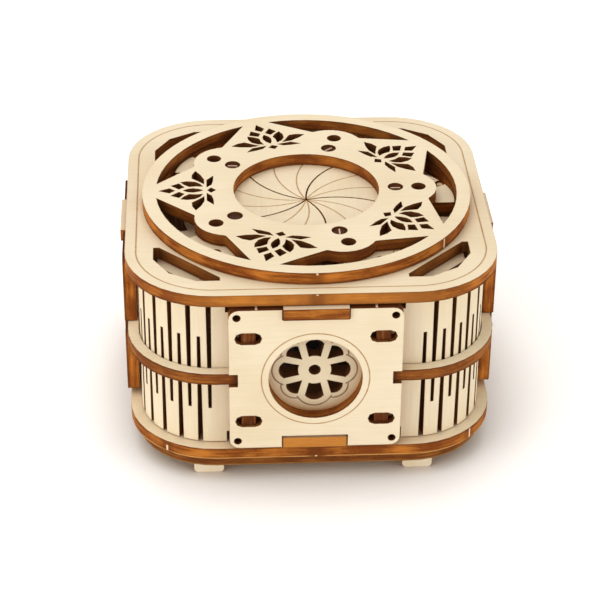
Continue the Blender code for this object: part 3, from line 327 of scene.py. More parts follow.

# %% [markdown]
# ## Birch plywood with scorched edges
#
# Each sheet is pale on its two faces and brown on every cut edge. A face can be told from an edge by the way
# it points: a face of a lying sheet points up or down, and a face of an upright panel points along the panel's
# own axis. On the bent corner walls the faces point away from the middle of the corner's bend.
#
# The pale face has a long, faint grain, slow changes of tone and a few short flecks. The cut edge shows three
# plies: the two outer ones are burnt brown and the core between them stays more golden. Three things darken
# it. The beam leaves a thin char line along both borders, and a little of it creeps onto the face: a Bevel node
# rounds the normal near a border, so where it leaves the true normal there is a border. A narrow cut, such as a
# hole or a slit, is darkened partly as smoke and partly as painted shade: an Ambient Occlusion node that sees
# only its own sheet finds those. And behind the walls everything is painted dark, as painted shade inside the
# closed box, with a faint painted glow. A face that lies close under another sheet gets a warm painted shade,
# and a second Ambient Occlusion node that sees every sheet finds that.

# %% The colours of birch, smoke, char and painted shade
INSIDE_SHADE = (0.060, 0.022, 0.009)
INSIDE_GLOW = (0.013, 0.0046, 0.0017)
SMOKE_SHADE_BROWN = (0.105, 0.036, 0.010)
NOOK_SHADE_TAN = (0.62, 0.385, 0.175)
DARK_NOOK_SHADE = (0.33, 0.175, 0.085)
WARM_NOOK_SHADE = (0.70, 0.37, 0.145)
CHAR = (0.095, 0.023, 0.005)
UMBER = (0.21, 0.052, 0.007)
GOLD = (0.54, 0.185, 0.027)
BRIGHT = (0.64, 0.255, 0.048)
TAB_BROWN_AND_SHADE = (0.21, 0.070, 0.020)
FOOT_LINE_PALE = (0.70, 0.36, 0.11)
PALE = (0.80, 0.665, 0.455)
CREAM = (0.885, 0.765, 0.565)
FLECK = (0.64, 0.48, 0.28)
HALO = (0.42, 0.22, 0.075)
ENGRAVED = (0.38, 0.175, 0.035)
SCORED = (0.15, 0.062, 0.018)
SEAM = (0.21, 0.070, 0.014)
BARE = (0.86, 0.62, 0.42)
print("edges run from", GOLD, "to", UMBER)

# %% Places that the finishes share
SOUND_HOLE = 13.75
WELL_RING_WIDTH = 5.4
CORNER = 26.0
WALL_RADIUS = 22.5
STAR_WINDOW = 22.0

FRAME_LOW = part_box("top_frame")[0].z
BASE_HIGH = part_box("base_upper")[1].z
SHELF_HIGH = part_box("upper_shelf")[1].z
well_low, well_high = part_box("well_ring")
WELL = (well_high.x - well_low.x) / 2 / MM - WELL_RING_WIDTH
FLAT = HALF / MM - CORNER
STAR_RADIUS = (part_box("star_plate")[1].x - AXIS.x) / MM
BAND_END = (AXIS.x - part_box("corner_band_front_left")[1].x) / MM
MIDDLE = (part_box("rosette_front")[0].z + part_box("rosette_front")[1].z) / 2
panel_low, panel_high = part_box("panel_front")
base_middle = BASE_HIGH - SHEET / 2
print("frame from", round(FRAME_LOW / MM, 2), "mm, well radius", round(WELL, 2), "mm")
print("corner centres at", round(FLAT, 2), "mm, sound holes at", round(MIDDLE / MM, 2), "mm up")


def plan(finish):
    """The three parts of the place from the box's upright axis and the floor, in millimetres."""
    return finish.place((AXIS.x, AXIS.y, 0.0))[1]


def corner_distance(x, y, radius):
    """The distance to a rounded square that shares the box's corner centres, less than 0 inside it."""
    out_x, out_y = abs(x) - FLAT, abs(y) - FLAT
    return length(out_x.high(0.0), out_y.high(0.0)) + out_x.high(out_y).low(0.0) - radius


def upright(finish, side):
    """A point of an upright sheet as its two parts from the sound hole's middle, across and up."""
    x, y, z = finish.place((AXIS.x, AXIS.y, MIDDLE))[1]
    return (x if side in ("front", "rear") else y), z


def inside_the_box(finish, inset):
    """1 in the closed space an inset behind the walls' faces, outside the well, and 0 elsewhere."""
    x, y, z = plan(finish)
    behind = 1.0 - corner_distance(x, y, WALL_RADIUS - inset).step(-0.5, 0.3)
    above_base = z.step(BASE_HIGH / MM - 0.1, BASE_HIGH / MM + 0.1)
    under_frame = 1.0 - z.step(FRAME_LOW / MM - 0.4, FRAME_LOW / MM - 0.1)
    in_well = (1.0 - length(x, y).step(WELL, WELL + 0.4)) * z.step(SHELF_HIGH / MM - 0.2, SHELF_HIGH / MM)
    return behind * above_base * under_frame * (1.0 - in_well)


# %% How each sheet was burnt
# The char along the upper and the lower border of a sheet's edges, with painted shade where a border lies
# against or under another sheet, as on the lower base plate's upper border.
USUAL_RIMS = (0.55, 0.80)
RIMS = {
    "base_upper": (0.55, 0.35), "base_lower": (0.90, 0.20),
    "corner_band": (0.95, 0.75), "corner_wall": (0.30, 0.30),
}
# Sheets whose edges are darker all over, and the share of it: burnt, and on the lower base plate also painted
# shade under the upper plate.
BURNS_AND_SHADE = {"base_lower": 0.55, "corner_band": 0.35}
# Sheets whose cuts inside the outline are darker than the outline itself.
INNER_CUTS = {"lid": 0.55, "star_plate": 0.40}
# Sheets whose edges are brighter in the middle of each side.
BRIGHT_MIDDLES = {"inner_floor": 0.9, "lid": 0.40}
# Sheets with a pale line along the foot of the edge.
PALE_FOOT_SHEETS = ("base_upper", "base_lower")
# How much painted shade darkens a face in a nook, by the first word of the sheet's name, and its colour.
USUAL_NOOK_SHADE = 0.6
NOOK_SHADE_SHARES = {"corner": 0.10, "foot": 0.0, "rosette": 1.0, "top": 1.0, "star": 0.3}
NOOK_SHADE_COLOURS = {"top": DARK_NOOK_SHADE, "rosette": WARM_NOOK_SHADE}


def at(x, y, z):
    """A place from the box's upright axis in millimetres, with a height in metres."""
    return Vector((x * MM, y * MM + AXIS.y, z))


def on_rim(x, y, z):
    """A place on the upper base plate's rounded corner, in the direction of a point near it."""
    corner = Vector((math.copysign(FLAT, x), math.copysign(FLAT, y)))
    reach = (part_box("base_upper")[1].x - AXIS.x) / MM - FLAT
    rim = corner + (Vector((x, y)) - corner).normalized() * reach
    return at(rim.x, rim.y, z)


# Small bridges held each sheet in its board. Where they were snapped, a pale upright scar is left. Each has its
# place and half its length in millimetres.
NIBS = {
    "base_upper": [
        (on_rim(47.8, -47.6, base_middle), 1.6),
        (on_rim(-44.6, -51.2, base_middle - 0.6 * MM), 1.0),
        (at(0.5, -55.0, base_middle - 1.6 * MM), 0.3),
    ],
    "star_plate": [(at(39.0, -31.6, STAR_TOP - SHEET / 2), 1.6), (at(0.5, -50.2, STAR_TOP - 0.4 * MM), 0.35)],
    "lid": [(at(0.3, -55.0, LID_TOP - 0.4 * MM), 0.2)],
    "panel_front": [
        (Vector((x * MM, (panel_low.y + panel_high.y) / 2, panel_high.z)), 1.6) for x in (-17.2, 17.3)
    ],
}
print("scars on", ", ".join(NIBS))


# %% The cut edges
FACES_SQUARELY = (0.6, 0.8)


def across_sheet(finish, name, way):
    """How far a point is from the sheet's middle plane and how squarely it faces out, from 0 to 1."""
    nx, ny, nz = finish.parts(finish.add("ShaderNodeNewGeometry", out="True Normal"))
    if way in "xyz":
        low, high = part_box(name)
        parts = finish.place((low + high) / 2)[1]
        return parts["xyz".index(way)], abs((nx, ny, nz)["xyz".index(way)]).step(*FACES_SQUARELY)
    x, y, _ = plan(finish)
    low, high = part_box(name)
    sx, sy = (math.copysign(1.0, (low + high)[axis] / 2 - AXIS[axis]) for axis in (0, 1))
    out_x = (x * sx - FLAT).high(0.0001)
    out_y = (y * sy - FLAT).high(0.0001)
    radius = length(out_x, out_y)
    along = abs((nx * sx * out_x + ny * sy * out_y) / radius)
    return radius - (WALL_RADIUS - SHEET / MM / 2), along.step(*FACES_SQUARELY)


def ply_edge(finish, name, way, depth, places):
    """The colour of a cut edge: burnt plies, darker towards both borders, and the nibs left by bridges."""
    vector, parts = places
    thin = [1.0 if axis == way else 0.08 for axis in "xyz"]
    plies = finish.noise(finish.join(*[part * share for part, share in zip(parts, thin)]), 1.3, 4.0, 0.6)
    x, y, z = parts
    strokes = finish.noise(finish.join(x + z * 0.7, y + z * 0.7, z * 0.2), 1.0, 2.0)
    patches = finish.noise(vector, 0.10, 2.0, 0.5)
    heat = (plies * 0.5 + patches * 0.45 + strokes * 0.05).step(0.36, 0.60)
    edge = finish.mix(heat, GOLD, UMBER)
    edge = finish.mix(strokes.step(0.58, 0.68) * patches.step(0.46, 0.60) * 0.30, edge, CHAR)
    upper, lower = RIMS.get(name[:11], USUAL_RIMS)
    rim = depth.step(0.95, 1.75) * upper + (0.0 - depth).step(0.75, 1.70) * lower
    edge = finish.mix(rim * (plies * 0.9 + 0.45), edge, CHAR)
    if name in BRIGHT_MIDDLES:
        x, y, _ = plan(finish)
        mid_side = 1.0 - abs(x).low(abs(y)).step(24.0, 46.0)
        edge = finish.mix(mid_side * (plies * 0.9 + 0.4) * BRIGHT_MIDDLES[name], edge, BRIGHT)
    if name.startswith("panel"):
        side = name.split("_")[1]
        # The sound hole's mouth and the panel's top edge are darker: char, and painted shade in the recess and
        # under the lid.
        mouth = 1.0 - length(*upright(finish, side)).step(SOUND_HOLE + 0.65, SOUND_HOLE + 1.25)
        top = plan(finish)[2].step(panel_high.z / MM - 2.4, panel_high.z / MM - 1.2)
        edge = finish.mix((mouth * 0.50).high(top * 0.95), edge, CHAR)
    # The shelves' tab ends, deep in the panels' slots, are painted dark: burn and painted shade.
    if name.endswith("shelf"):
        streaks = finish.noise(finish.join(x * 1.8, y * 1.8, z * 0.15), 1.0, 2.0)
        edge = finish.mix(0.9, edge, finish.mix(streaks.step(0.48, 0.66), CHAR, TAB_BROWN_AND_SHADE))
    # A band's ends next to a panel are darker: char, and painted shadow from the panel's notch.
    if name.startswith("corner_band"):
        x, y, _ = plan(finish)
        edge = finish.mix((1.0 - abs(x).low(abs(y)).step(BAND_END, BAND_END + 2.6)) * 0.8, edge, CHAR)
    if name in INNER_CUTS:
        x, y, _ = plan(finish)
        rim = length(x, y) - STAR_RADIUS if name == "star_plate" else corner_distance(x, y, CORNER)
        in_window = 1.0 - length(x, y).step(STAR_WINDOW, STAR_WINDOW + 0.5) if name == "star_plate" else 0.0
        edge = finish.mix((1.0 - rim.step(-1.5, -1.0) - in_window) * INNER_CUTS[name], edge, SMOKE_SHADE_BROWN)
    if name in PALE_FOOT_SHEETS:
        edge = finish.mix((0.0 - depth).step(1.35, 1.50) * plies.step(0.30, 0.55) * 0.8, edge, FOOT_LINE_PALE)
    for place, half in NIBS.get(name, ()):
        near = finish.place(place)[1]
        aside = length(*[part for part, axis in zip(near, "xyz") if axis != way])
        across = abs(near["xyz".index(way)])
        edge = finish.mix((1.0 - aside.step(0.8, 3.4)) * 0.45, edge, CHAR)
        scar = (1.0 - aside.step(0.22, 0.42)) * (1.0 - across.step(half - 0.2, half + 0.1))
        edge = finish.mix(scar, edge, BARE)
    return edge, strokes


print("edges burnt darker all over:", ", ".join(BURNS_AND_SHADE))

# %% Where the beam, the smoke and the painted shade reach
BORDER_WIDTH = 0.45 * MM
CUT_REACH = 5 * MM
NOOK_REACH = 8 * MM


def scorched(finish):
    """Three masks: a sheet's borders, its own narrow cuts, and its nooks next to other sheets."""
    true_normal = finish.add("ShaderNodeNewGeometry", out="True Normal")
    rounded = finish.add("ShaderNodeBevel", {"samples": 6}, Radius=BORDER_WIDTH)
    agree = finish.add("ShaderNodeVectorMath", {"operation": "DOT_PRODUCT"}, out="Value")
    finish.tree.links.new(true_normal.socket, agree.socket.node.inputs[0])
    finish.tree.links.new(rounded.socket, agree.socket.node.inputs[1])
    alone = {"samples": 6, "only_local": True}
    in_cut = finish.add("ShaderNodeAmbientOcclusion", alone, out="AO", Distance=CUT_REACH)
    in_nook = finish.add("ShaderNodeAmbientOcclusion", {"samples": 4}, out="AO", Distance=NOOK_REACH)
    return (1.0 - agree).step(0.02, 0.18), (1.0 - in_cut).step(0.12, 0.50), (1.0 - in_nook).step(0.25, 0.90)


print("borders", BORDER_WIDTH / MM, "mm, smoke in cuts under", CUT_REACH / MM, "mm")


# %% The plywood finish
# How far behind the walls' faces the painted shade inside the box starts, and how much of it there is.
SHADE_FROM, WALL_SHADE_FROM = 1.0, 2.4
INSIDE_SHADE_SHARE = 0.93
GRAIN_DEPTH = 0.08 * MM
PLY_GLOSS = 0.10


def plywood(name, way, seed, grain="x", engraving=None, tone_and_light=1.0):
    """Birch plywood whose faces point a way, with its grain along an axis, perhaps an engraving, and a tone
    that also paints light and shade on its faces.
    """
    finish = Finish(name, roughness=0.55)
    vector, (x, y, z) = finish.place((seed * 0.0137, seed * 0.0291, seed * 0.0073))
    depth, on_face = across_sheet(finish, name, way)

    stretch = [0.05 if axis == grain else 1.0 for axis in "xyz"]
    drawn = [part * share for part, share in zip((x, y, z), stretch)]
    grain_lines = finish.noise(finish.join(*drawn), 1.5, 4.0, 0.6)
    flecks = finish.noise(finish.join(*[part * 5.0 for part in drawn]), 0.55, 2.0)
    clouds = finish.noise(vector, 0.04, 2.0)
    light = (clouds.step(0.3, 0.7) * 0.6 + grain_lines.step(0.3, 0.75) * 0.4) * tone_and_light
    face = finish.mix(light, PALE, CREAM)
    face = finish.mix(flecks.step(0.70, 0.82) * 0.14, face, FLECK)
    edge, strokes = ply_edge(finish, name, way, depth, (vector, (x, y, z)))
    border, smoke_and_shade, nook_shade = scorched(finish)

    edge = finish.mix(border * 0.75, edge, CHAR)
    # Edges go darker in narrow cuts, partly smoke and partly painted shade, and over sheets listed as darker
    # all over.
    edge = finish.mix((smoke_and_shade * 0.92).high(BURNS_AND_SHADE.get(name[:11], 0.0)), edge, SMOKE_SHADE_BROWN)
    uneven = finish.noise(vector, 0.5, 2.0) * 0.5 + 0.5
    if name.startswith("iris"):
        face = finish.mix(border * (uneven * 0.6 + 0.4), face, SEAM)
    else:
        face = finish.mix(border * uneven * 0.60, face, HALO)
    kind = name.split("_")[0]
    # Painted shade on a face that lies close to another sheet.
    face = finish.mix(nook_shade * NOOK_SHADE_SHARES.get(kind, USUAL_NOOK_SHADE), face, NOOK_SHADE_COLOURS.get(kind, NOOK_SHADE_TAN))
    if engraving is not None:
        line = engraving(finish)
        face = finish.mix(line * uneven, face, SCORED if name.startswith("rosette") else ENGRAVED)
    colour = finish.mix(on_face, edge, face)
    # Inside the closed box the sheets are painted dark as shade, and glow faintly as painted light.
    inset = WALL_SHADE_FROM if name.startswith("corner_wall") else SHADE_FROM
    inside_shade_mask = inside_the_box(finish, inset) * INSIDE_SHADE_SHARE
    colour = finish.mix(inside_shade_mask, colour, INSIDE_SHADE)
    finish.feed("Base Color", colour)
    finish.feed("Emission Color", finish.mix(inside_shade_mask, BLACK, INSIDE_GLOW))
    finish.shader.inputs["Emission Strength"].default_value = 1.0
    finish.feed("Roughness", 0.68 - on_face * 0.14 + grain_lines * 0.06)
    relief = grain_lines * 0.35 + strokes * (1.0 - on_face)
    if engraving is not None:
        relief = relief - line * 2.5
    finish.bump(relief, 0.35, GRAIN_DEPTH)
    finish.shader.inputs["Specular IOR Level"].default_value = PLY_GLOSS
    return finish.material


def dress(node, material):
    """Puts one finish on all of a sheet."""
    slots = nodes[node].data.materials
    slots.clear()
    slots.append(material)


# %% [markdown]
# ## The engraved lines
#
# The laser also draws thin tan lines that don't cut through: a border round the lid, a ring round each sound
# hole, the petals of each rosette and two extra curves on each iris blade. A line is a narrow band round a
# curve, so each one is written as a distance to that curve: for a circle it is the distance to its centre
# less its radius, and the lid's border is the same with the corners' circles joined by straight runs.

# %% The lid's border and the panels' rings
LID_BORDER_IN = 3.3
PANEL_RING = 15.8
WIDE_LINE, RING_LINE, BLADE_LINE = 0.42, 0.36, 0.40


def band(distance, width):
    """1 on a line of a width round a distance of 0, in millimetres."""
    return 1.0 - abs(distance).step(width * 0.35, width * 0.75)


def lid_border(finish):
    """A rounded square a little inside the lid's rim."""
    x, y, _ = plan(finish)
    return band(corner_distance(x, y, CORNER - LID_BORDER_IN), WIDE_LINE)


def panel_ring(side):
    """A ring round the sound hole of the panel on a side."""

    def engraving(finish):
        return band(length(*upright(finish, side)) - PANEL_RING, RING_LINE)

    return engraving


print("ring radius", PANEL_RING, "mm, border", LID_BORDER_IN, "mm inside the rim")

# %% The rosettes' petals
LOBE_AT, LOBE_ROUND, LOBE_FROM = 7.1, 5.5, 9.0
TUCKED_AT, TUCKED_ROUND, TUCKED_FROM = 7.7, 4.5, 8.6


def rosette_petals(side):
    """Eight rounded lobes: four over the wide openings and four tucked in between them."""

    def engraving(finish):
        u, v = (abs(part) for part in upright(finish, side))
        far, near = u.high(v), u.low(v)
        wide = length(far - LOBE_AT, near) - LOBE_ROUND
        lobe = band(wide, WIDE_LINE) * far.step(LOBE_FROM, LOBE_FROM + 0.4)
        diagonal, aside = (u + v) / math.sqrt(2), abs(u - v) / math.sqrt(2)
        tucked = band(length(diagonal - TUCKED_AT, aside) - TUCKED_ROUND, WIDE_LINE)
        tucked = tucked * diagonal.step(TUCKED_FROM, TUCKED_FROM + 0.6)
        return lobe.high(tucked * wide.step(0.0, 0.2))

    return engraving


print("petals of", LOBE_ROUND, "and", TUCKED_ROUND, "mm")

# %% The blades' curves
BLADES = 5
BLADE_STEP = 360 / BLADES
pivot_pins = [sum(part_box(f"pivot_pin_{number + 1}"), Vector()) / 2 for number in range(BLADES)]
PIVOT = (pivot_pins[0] - AXIS).to_2d().length / MM
print("blades turn", round(PIVOT, 2), "mm from the axis")


def blade_curves(number):
    """Two more curves on an iris blade, between its own edge and its neighbour's."""

    def engraving(finish):
        x, y, _ = plan(finish)
        mask = None
        for share in (1, 2):
            angle = math.radians(BLADE_STEP * (number - share / 3))
            centre_x, centre_y = PIVOT * math.cos(angle), PIVOT * math.sin(angle)
            line = band(length(x - centre_x, y - centre_y) - PIVOT, BLADE_LINE)
            mask = line if mask is None else mask.high(line)
        return mask

    return engraving


# %% Dress every sheet
SIDES = {"front": "y", "rear": "y", "left": "x", "right": "x"}
for number, (side, way) in enumerate(SIDES.items()):
    cross = "x" if way == "y" else "y"
    dress(f"panel_{side}", plywood(f"panel_{side}", way, number + 1, cross, panel_ring(side)))
    petals = rosette_petals(side)
    # The rosettes' faces are painted darker by their tone, as painted shade in their recess.
    dress(f"rosette_{side}", plywood(f"rosette_{side}", way, number + 11, cross, petals, tone_and_light=0.4))

LYING = ["base_lower", "base_upper", "inner_floor", "lower_shelf", "upper_shelf", "well_ring", "top_frame"]
LYING += ["star_plate", "centring_ring", "lid"]
for number, name in enumerate(LYING):
    engraving = lid_border if name == "lid" else None
    dress(name, plywood(name, "z", number + 21, "x", engraving))
for number in range(BLADES):
    name = f"iris_blade_{number + 1}"
    dress(name, plywood(name, "z", number + 41, "x" if number % 2 else "y", blade_curves(number)))
# The bands' and the feet's faces are painted lighter by their tone, as painted light.
for number, corner in enumerate(("front_left", "front_right", "rear_right", "rear_left")):
    dress(f"corner_band_{corner}", plywood(f"corner_band_{corner}", "z", number + 51, tone_and_light=1.6))
    dress(f"corner_wall_{corner}", plywood(f"corner_wall_{corner}", "bend", number + 61, "z"))
for number, name in enumerate(("foot_front_left", "foot_front_right", "foot_rear_left", "foot_rear_right")):
    dress(name, plywood(name, "y", number + 71, tone_and_light=1.6))
dress("crank_arm", plywood("crank_arm", "y", 81, "z"))
print("sheets dressed")


# %% [markdown]
# ## Turned pins, steel and brass
#
# The pins and the knob are turned from darker wood. The movement is a small stamped steel frame with a comb,
# and a brass drum and wheel.

# %% Dowel, steel and brass
def dowel_wood(name, axis):
    """Turned wood with its grain along an axis."""
    finish = Finish(name, roughness=0.5)
    vector, (x, y, z) = finish.place()
    stretch = {"x": (0.1, 1.0, 1.0), "y": (1.0, 0.1, 1.0), "z": (1.0, 1.0, 0.1)}[axis]
    fibres = finish.noise(finish.join(x * stretch[0], y * stretch[1], z * stretch[2]), 2.4, 4.0, 0.6)
    tint = finish.noise(vector, 0.3, 2.0)
    colour = finish.mix(fibres.step(0.3, 0.7), (0.50, 0.29, 0.12), (0.68, 0.45, 0.22))
    colour = finish.mix(tint.step(0.55, 0.75) * 0.4, colour, (0.38, 0.19, 0.07))
    finish.feed("Base Color", colour)
    finish.bump(fibres, 0.3, 0.05 * MM)
    return finish.material


def worked_metal(name, light, dark, axis, roughness):
    """Metal with fine lines along an axis and a few dull patches."""
    finish = Finish(name, roughness=roughness, metallic=1.0)
    vector, (x, y, z) = finish.place()
    stretch = {"x": (0.03, 1.0, 1.0), "y": (1.0, 0.03, 1.0), "z": (1.0, 1.0, 0.03)}[axis]
    lines = finish.noise(finish.join(x * stretch[0], y * stretch[1], z * stretch[2]), 5.0, 4.0, 0.6)
    patches = finish.noise(vector, 0.25, 3.0)
    finish.feed("Base Color", finish.mix(patches.step(0.45, 0.75), light, dark))
    finish.feed("Roughness", patches * 0.2 + lines * 0.12 + (roughness - 0.12))
    finish.bump(lines, 0.2, 0.03 * MM)
    return finish.material


pin_wood = dowel_wood("pin_wood", "z")
knob_wood = dowel_wood("knob_wood", "y")
for number in range(BLADES):
    dress(f"drive_pin_{number + 1}", pin_wood)
dress("knob_pin", knob_wood)
steel = worked_metal("stamped_steel", (0.30, 0.29, 0.27), (0.17, 0.165, 0.155), "x", 0.42)
for name in ("movement_frame", "comb", "comb_screw_1", "comb_screw_2"):
    dress(name, steel)
dress("worm_shaft", worked_metal("turned_steel", (0.66, 0.66, 0.65), (0.45, 0.45, 0.44), "y", 0.28))
brass = worked_metal("turned_brass", (0.80, 0.60, 0.26), (0.58, 0.40, 0.15), "x", 0.26)
dress("music_drum", brass)
dress("drum_wheel", brass)
print("pins and metal dressed")

# %% [markdown]
# ## The split pegs
#
# The star plate hangs its five iris blades on wooden pegs. Each peg was burnt dark by the laser, and most were
# split and spread with a sliver of a wedge. The wedge's end is painted pale, partly the raw wood and partly a
# painted highlight, which shows as a light stroke across the end. The end stands half a millimetre below the
# star plate's face. A peg starts as a cylinder. Its upper rim is chamfered by extruding the end and drawing it
# in, and two bisecting cuts part a narrow strip of the end that is extruded a little proud, as the wedge. The
# plain peg is copied before that, because one of the five has no wedge.

# %% Helpers for modelling by hand
def begin(name, primitive, **settings):
    """A primitive under a name, alone in the selection, with its place in its mesh."""
    bpy.ops.object.select_all(action="DESELECT")
    primitive(**settings)
    bpy.ops.object.transform_apply(location=True, rotation=True, scale=True)
    piece = bpy.context.object
    piece.name = name
    piece.data.name = name
    return piece


def choose(piece, test):
    """Selects the faces whose centre and normal pass a test, and stays in edit mode."""
    bpy.ops.object.mode_set(mode="EDIT")
    bpy.ops.mesh.select_mode(type="FACE")
    bpy.ops.mesh.select_all(action="DESELECT")
    bpy.ops.object.mode_set(mode="OBJECT")
    for face in piece.data.polygons:
        face.select = test(face.center, face.normal)
    bpy.ops.object.mode_set(mode="EDIT")


def choose_ring(piece, test):
    """Selects the corners whose place passes a test, and stays in edit mode."""
    bpy.ops.object.mode_set(mode="EDIT")
    bpy.ops.mesh.select_mode(type="VERT")
    bpy.ops.mesh.select_all(action="DESELECT")
    bpy.ops.object.mode_set(mode="OBJECT")
    for corner in piece.data.vertices:
        corner.select = test(corner.co)
    bpy.ops.object.mode_set(mode="EDIT")


def done(piece, angle=35):
    """Leaves edit mode and smooths all but the sharp edges."""
    bpy.ops.object.mode_set(mode="OBJECT")
    bpy.ops.object.select_all(action="DESELECT")
    piece.select_set(True)
    bpy.context.view_layer.objects.active = piece
    bpy.ops.object.shade_smooth_by_angle(angle=math.radians(angle))


def copy_of(piece, name):
    """A copy with its own mesh, selected and active."""
    twin = piece.copy()
    twin.data = piece.data.copy()
    twin.name = twin.data.name = name
    bpy.context.scene.collection.objects.link(twin)
    bpy.ops.object.select_all(action="DESELECT")
    twin.select_set(True)
    bpy.context.view_layer.objects.active = twin
    return twin


def fasten(piece, body, slot, material, *replaced):
    """Gives a piece its finish, its body and the nodes that it stands for. The slot is not used."""
    piece.data.materials.clear()
    piece.data.materials.append(material)
    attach(piece, body)
    if replaced:
        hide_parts(*replaced)
    size = [round(side / MM, 1) for side in piece.dimensions]
    print(piece.name, len(piece.data.polygons), "faces,", size, "mm")


# %% A plain and a wedged peg
peg_low, peg_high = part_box("pivot_pin_1")
PEG_RADIUS = (peg_high.y - peg_low.y) / 2
PEG_TOP = STAR_TOP - 0.5 * MM
PEG_SIDES = 36
CHAMFER = 0.25 * MM
END_INSET = 0.3 * MM
WEDGE_HALF = 0.30 * MM
WEDGE_PROUD = 0.15 * MM

peg = begin(
    "peg_plain", bpy.ops.mesh.primitive_cylinder_add, vertices=PEG_SIDES, radius=PEG_RADIUS,
    depth=PEG_TOP - peg_low.z - CHAMFER, location=(0.0, 0.0, (PEG_TOP - CHAMFER + peg_low.z) / 2),
)
choose(peg, lambda centre, normal: normal.z > 0.9)
bpy.ops.mesh.extrude_region_move(TRANSFORM_OT_translate={"value": (0.0, 0.0, CHAMFER)})
bpy.ops.transform.resize(value=(1 - CHAMFER / PEG_RADIUS, 1 - CHAMFER / PEG_RADIUS, 1.0))
bpy.ops.mesh.inset(thickness=END_INSET)
done(peg)
wedged = copy_of(peg, "peg_wedged")
for side in (-1, 1):
    choose(wedged, lambda centre, normal: normal.z > 0.9 and centre.to_2d().length < PEG_RADIUS * 0.55)
    bpy.ops.mesh.bisect(plane_co=(0.0, side * WEDGE_HALF, PEG_TOP), plane_no=(0.0, 1.0, 0.0))
choose(wedged, lambda centre, normal: normal.z > 0.9 and centre.to_2d().length < WEDGE_HALF)
bpy.ops.mesh.extrude_region_move(TRANSFORM_OT_translate={"value": (0.0, 0.0, WEDGE_PROUD)})
bpy.ops.transform.resize(value=(0.96, 0.8, 1.0))
done(wedged)
print("pegs", round(2 * PEG_RADIUS / MM, 1), "mm wide, up to", round(PEG_TOP / MM, 1), "mm")

# %% The pegs' burnt wood, and one peg in each hole
PEG_DARK, PEG_BROWN, WEDGE_PALE_AND_HIGHLIGHT = (0.036, 0.011, 0.004), (0.085, 0.028, 0.010), (0.80, 0.50, 0.33)
peg_wood = Finish("burnt_peg", roughness=0.6)
spot, (_, _, height) = peg_wood.place()
pores = peg_wood.noise(spot, 3.0, 3.0, 0.6)
burnt = peg_wood.mix(pores.step(0.40, 0.65), PEG_DARK, PEG_BROWN)
# The wedge's end is pale: raw wood, and a painted highlight.
on_wedge = height.step((PEG_TOP + WEDGE_PROUD * 0.3) / MM, (PEG_TOP + WEDGE_PROUD * 0.7) / MM)
peg_wood.feed("Base Color", peg_wood.mix(on_wedge * (pores * 0.5 + 0.6), burnt, WEDGE_PALE_AND_HIGHLIGHT))
peg_wood.bump(pores, 0.4, 0.06 * MM)
peg_wood.shader.inputs["Specular IOR Level"].default_value = 0.08

WEDGE_TURNS = (0.0, 40.0, -5.0, None, 90.0)
for number, turn in enumerate(WEDGE_TURNS):
    twin = copy_of(peg if turn is None else wedged, f"peg_{number + 1}")
    twin.location = (pivot_pins[number].x, pivot_pins[number].y, 0.0)
    twin.rotation_euler.z = math.radians(turn or 0.0)
    bpy.ops.object.transform_apply(location=True, rotation=True, scale=True)
    fasten(twin, "star", "dowel", peg_wood.material, f"pivot_pin_{number + 1}")
for spare in (peg, wedged):
    bpy.data.objects.remove(spare)

# %% [markdown]
# ## The crank's knob and its washer
#
# The knob is turned from a dowel: a neck with a bead next to the arm, and a fuller end for the fingers. It
# starts as a plain cylinder that is cut across at each station of the profile, and each ring of corners is
# then drawn in to its radius. The pin runs in a bore that is inset and extruded into the end next to the arm.
# A thin washer with a hole keeps the arm on its shaft. It is a cylinder whose two ends are inset and bridged,
# so that the hole runs through it.

# %% Knob
knob_low, knob_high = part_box("crank_knob")
knob_middle = (knob_low + knob_high) / 2
KNOB_RADIUS = (knob_high.z - knob_low.z) / 2
KNOB_LENGTH = knob_high.y - knob_low.y
KNOB_SIDES = 32
PIN_PLAY = 0.3 * MM
pin_low, pin_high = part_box("knob_pin")
BORE = (pin_high.z - pin_low.z) / 2 + PIN_PLAY
BORE_END = pin_high.y + PIN_PLAY
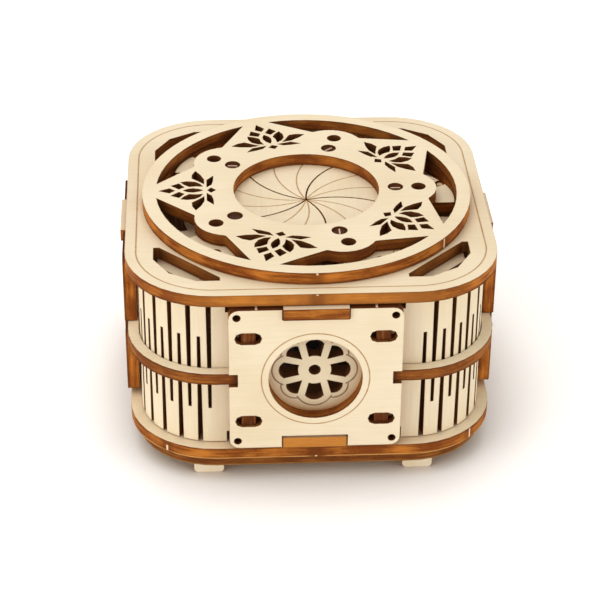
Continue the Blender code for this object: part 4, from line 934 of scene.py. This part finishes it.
# Where each ring is along the knob, and its radius, as shares of the knob's own.
KNOB_PROFILE = (
    (0.00, 0.70), (0.03, 0.78), (0.09, 0.80), (0.13, 0.72), (0.17, 0.66), (0.30, 0.68), (0.42, 0.82),
    (0.55, 0.96), (0.68, 1.00), (0.80, 0.98), (0.90, 0.88), (0.96, 0.74), (1.00, 0.52),
)
knob = begin(
    "turned_knob", bpy.ops.mesh.primitive_cylinder_add, vertices=KNOB_SIDES, radius=KNOB_RADIUS,
    depth=KNOB_LENGTH, location=knob_middle, rotation=(math.pi / 2, 0.0, 0.0),
)
bpy.ops.object.mode_set(mode="EDIT")
for share, _ in KNOB_PROFILE[1:-1]:
    bpy.ops.mesh.select_all(action="SELECT")
    bpy.ops.mesh.bisect(plane_co=(0.0, knob_low.y + share * KNOB_LENGTH, 0.0), plane_no=(0.0, 1.0, 0.0))
for share, radius in KNOB_PROFILE:
    station = Vector((knob_middle.x, knob_low.y + share * KNOB_LENGTH, knob_middle.z))
    choose_ring(knob, lambda place: abs(place.y - station.y) < 0.02 * MM)
    bpy.ops.transform.resize(value=(radius, 1.0, radius), center_override=station)
choose(knob, lambda centre, normal: normal.y < -0.9 and centre.y < knob_low.y + 0.01 * MM)
bpy.ops.mesh.inset(thickness=KNOB_PROFILE[0][1] * KNOB_RADIUS - BORE)
bpy.ops.mesh.extrude_region_move(TRANSFORM_OT_translate={"value": (0.0, BORE_END - knob_low.y, 0.0)})
done(knob, 50)
fasten(knob, "knob", "dowel", knob_wood, "crank_knob")

# %% Washer
arm_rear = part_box("crank_arm")[1].y
shaft_low, shaft_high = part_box("worm_shaft")
shaft_middle = (shaft_low + shaft_high) / 2
WASHER_RADIUS = 2.9 * MM
WASHER_THICK = 0.9 * MM
WASHER_HOLE = 1.25 * MM
WASHER_GAP = 0.05 * MM
washer = begin(
    "hub_washer", bpy.ops.mesh.primitive_cylinder_add, vertices=KNOB_SIDES, radius=WASHER_RADIUS,
    depth=WASHER_THICK, location=(shaft_middle.x, arm_rear + WASHER_GAP + WASHER_THICK / 2, shaft_middle.z),
    rotation=(math.pi / 2, 0.0, 0.0),
)
choose(washer, lambda centre, normal: abs(normal.y) > 0.9)
bpy.ops.mesh.inset(thickness=WASHER_RADIUS - WASHER_HOLE, use_individual=True)
choose(washer, lambda centre, normal: abs(normal.y) > 0.9 and (centre - shaft_middle).xz.length < 0.1 * MM)
bpy.ops.mesh.bridge_edge_loops()
done(washer)
rim = washer.modifiers.new("rim", "BEVEL")
rim.width = 0.2 * MM
rim.segments = 2
rim.limit_method = "ANGLE"
bpy.ops.object.modifier_apply(modifier="rim")
fasten(washer, "crank", "dowel", knob_wood)
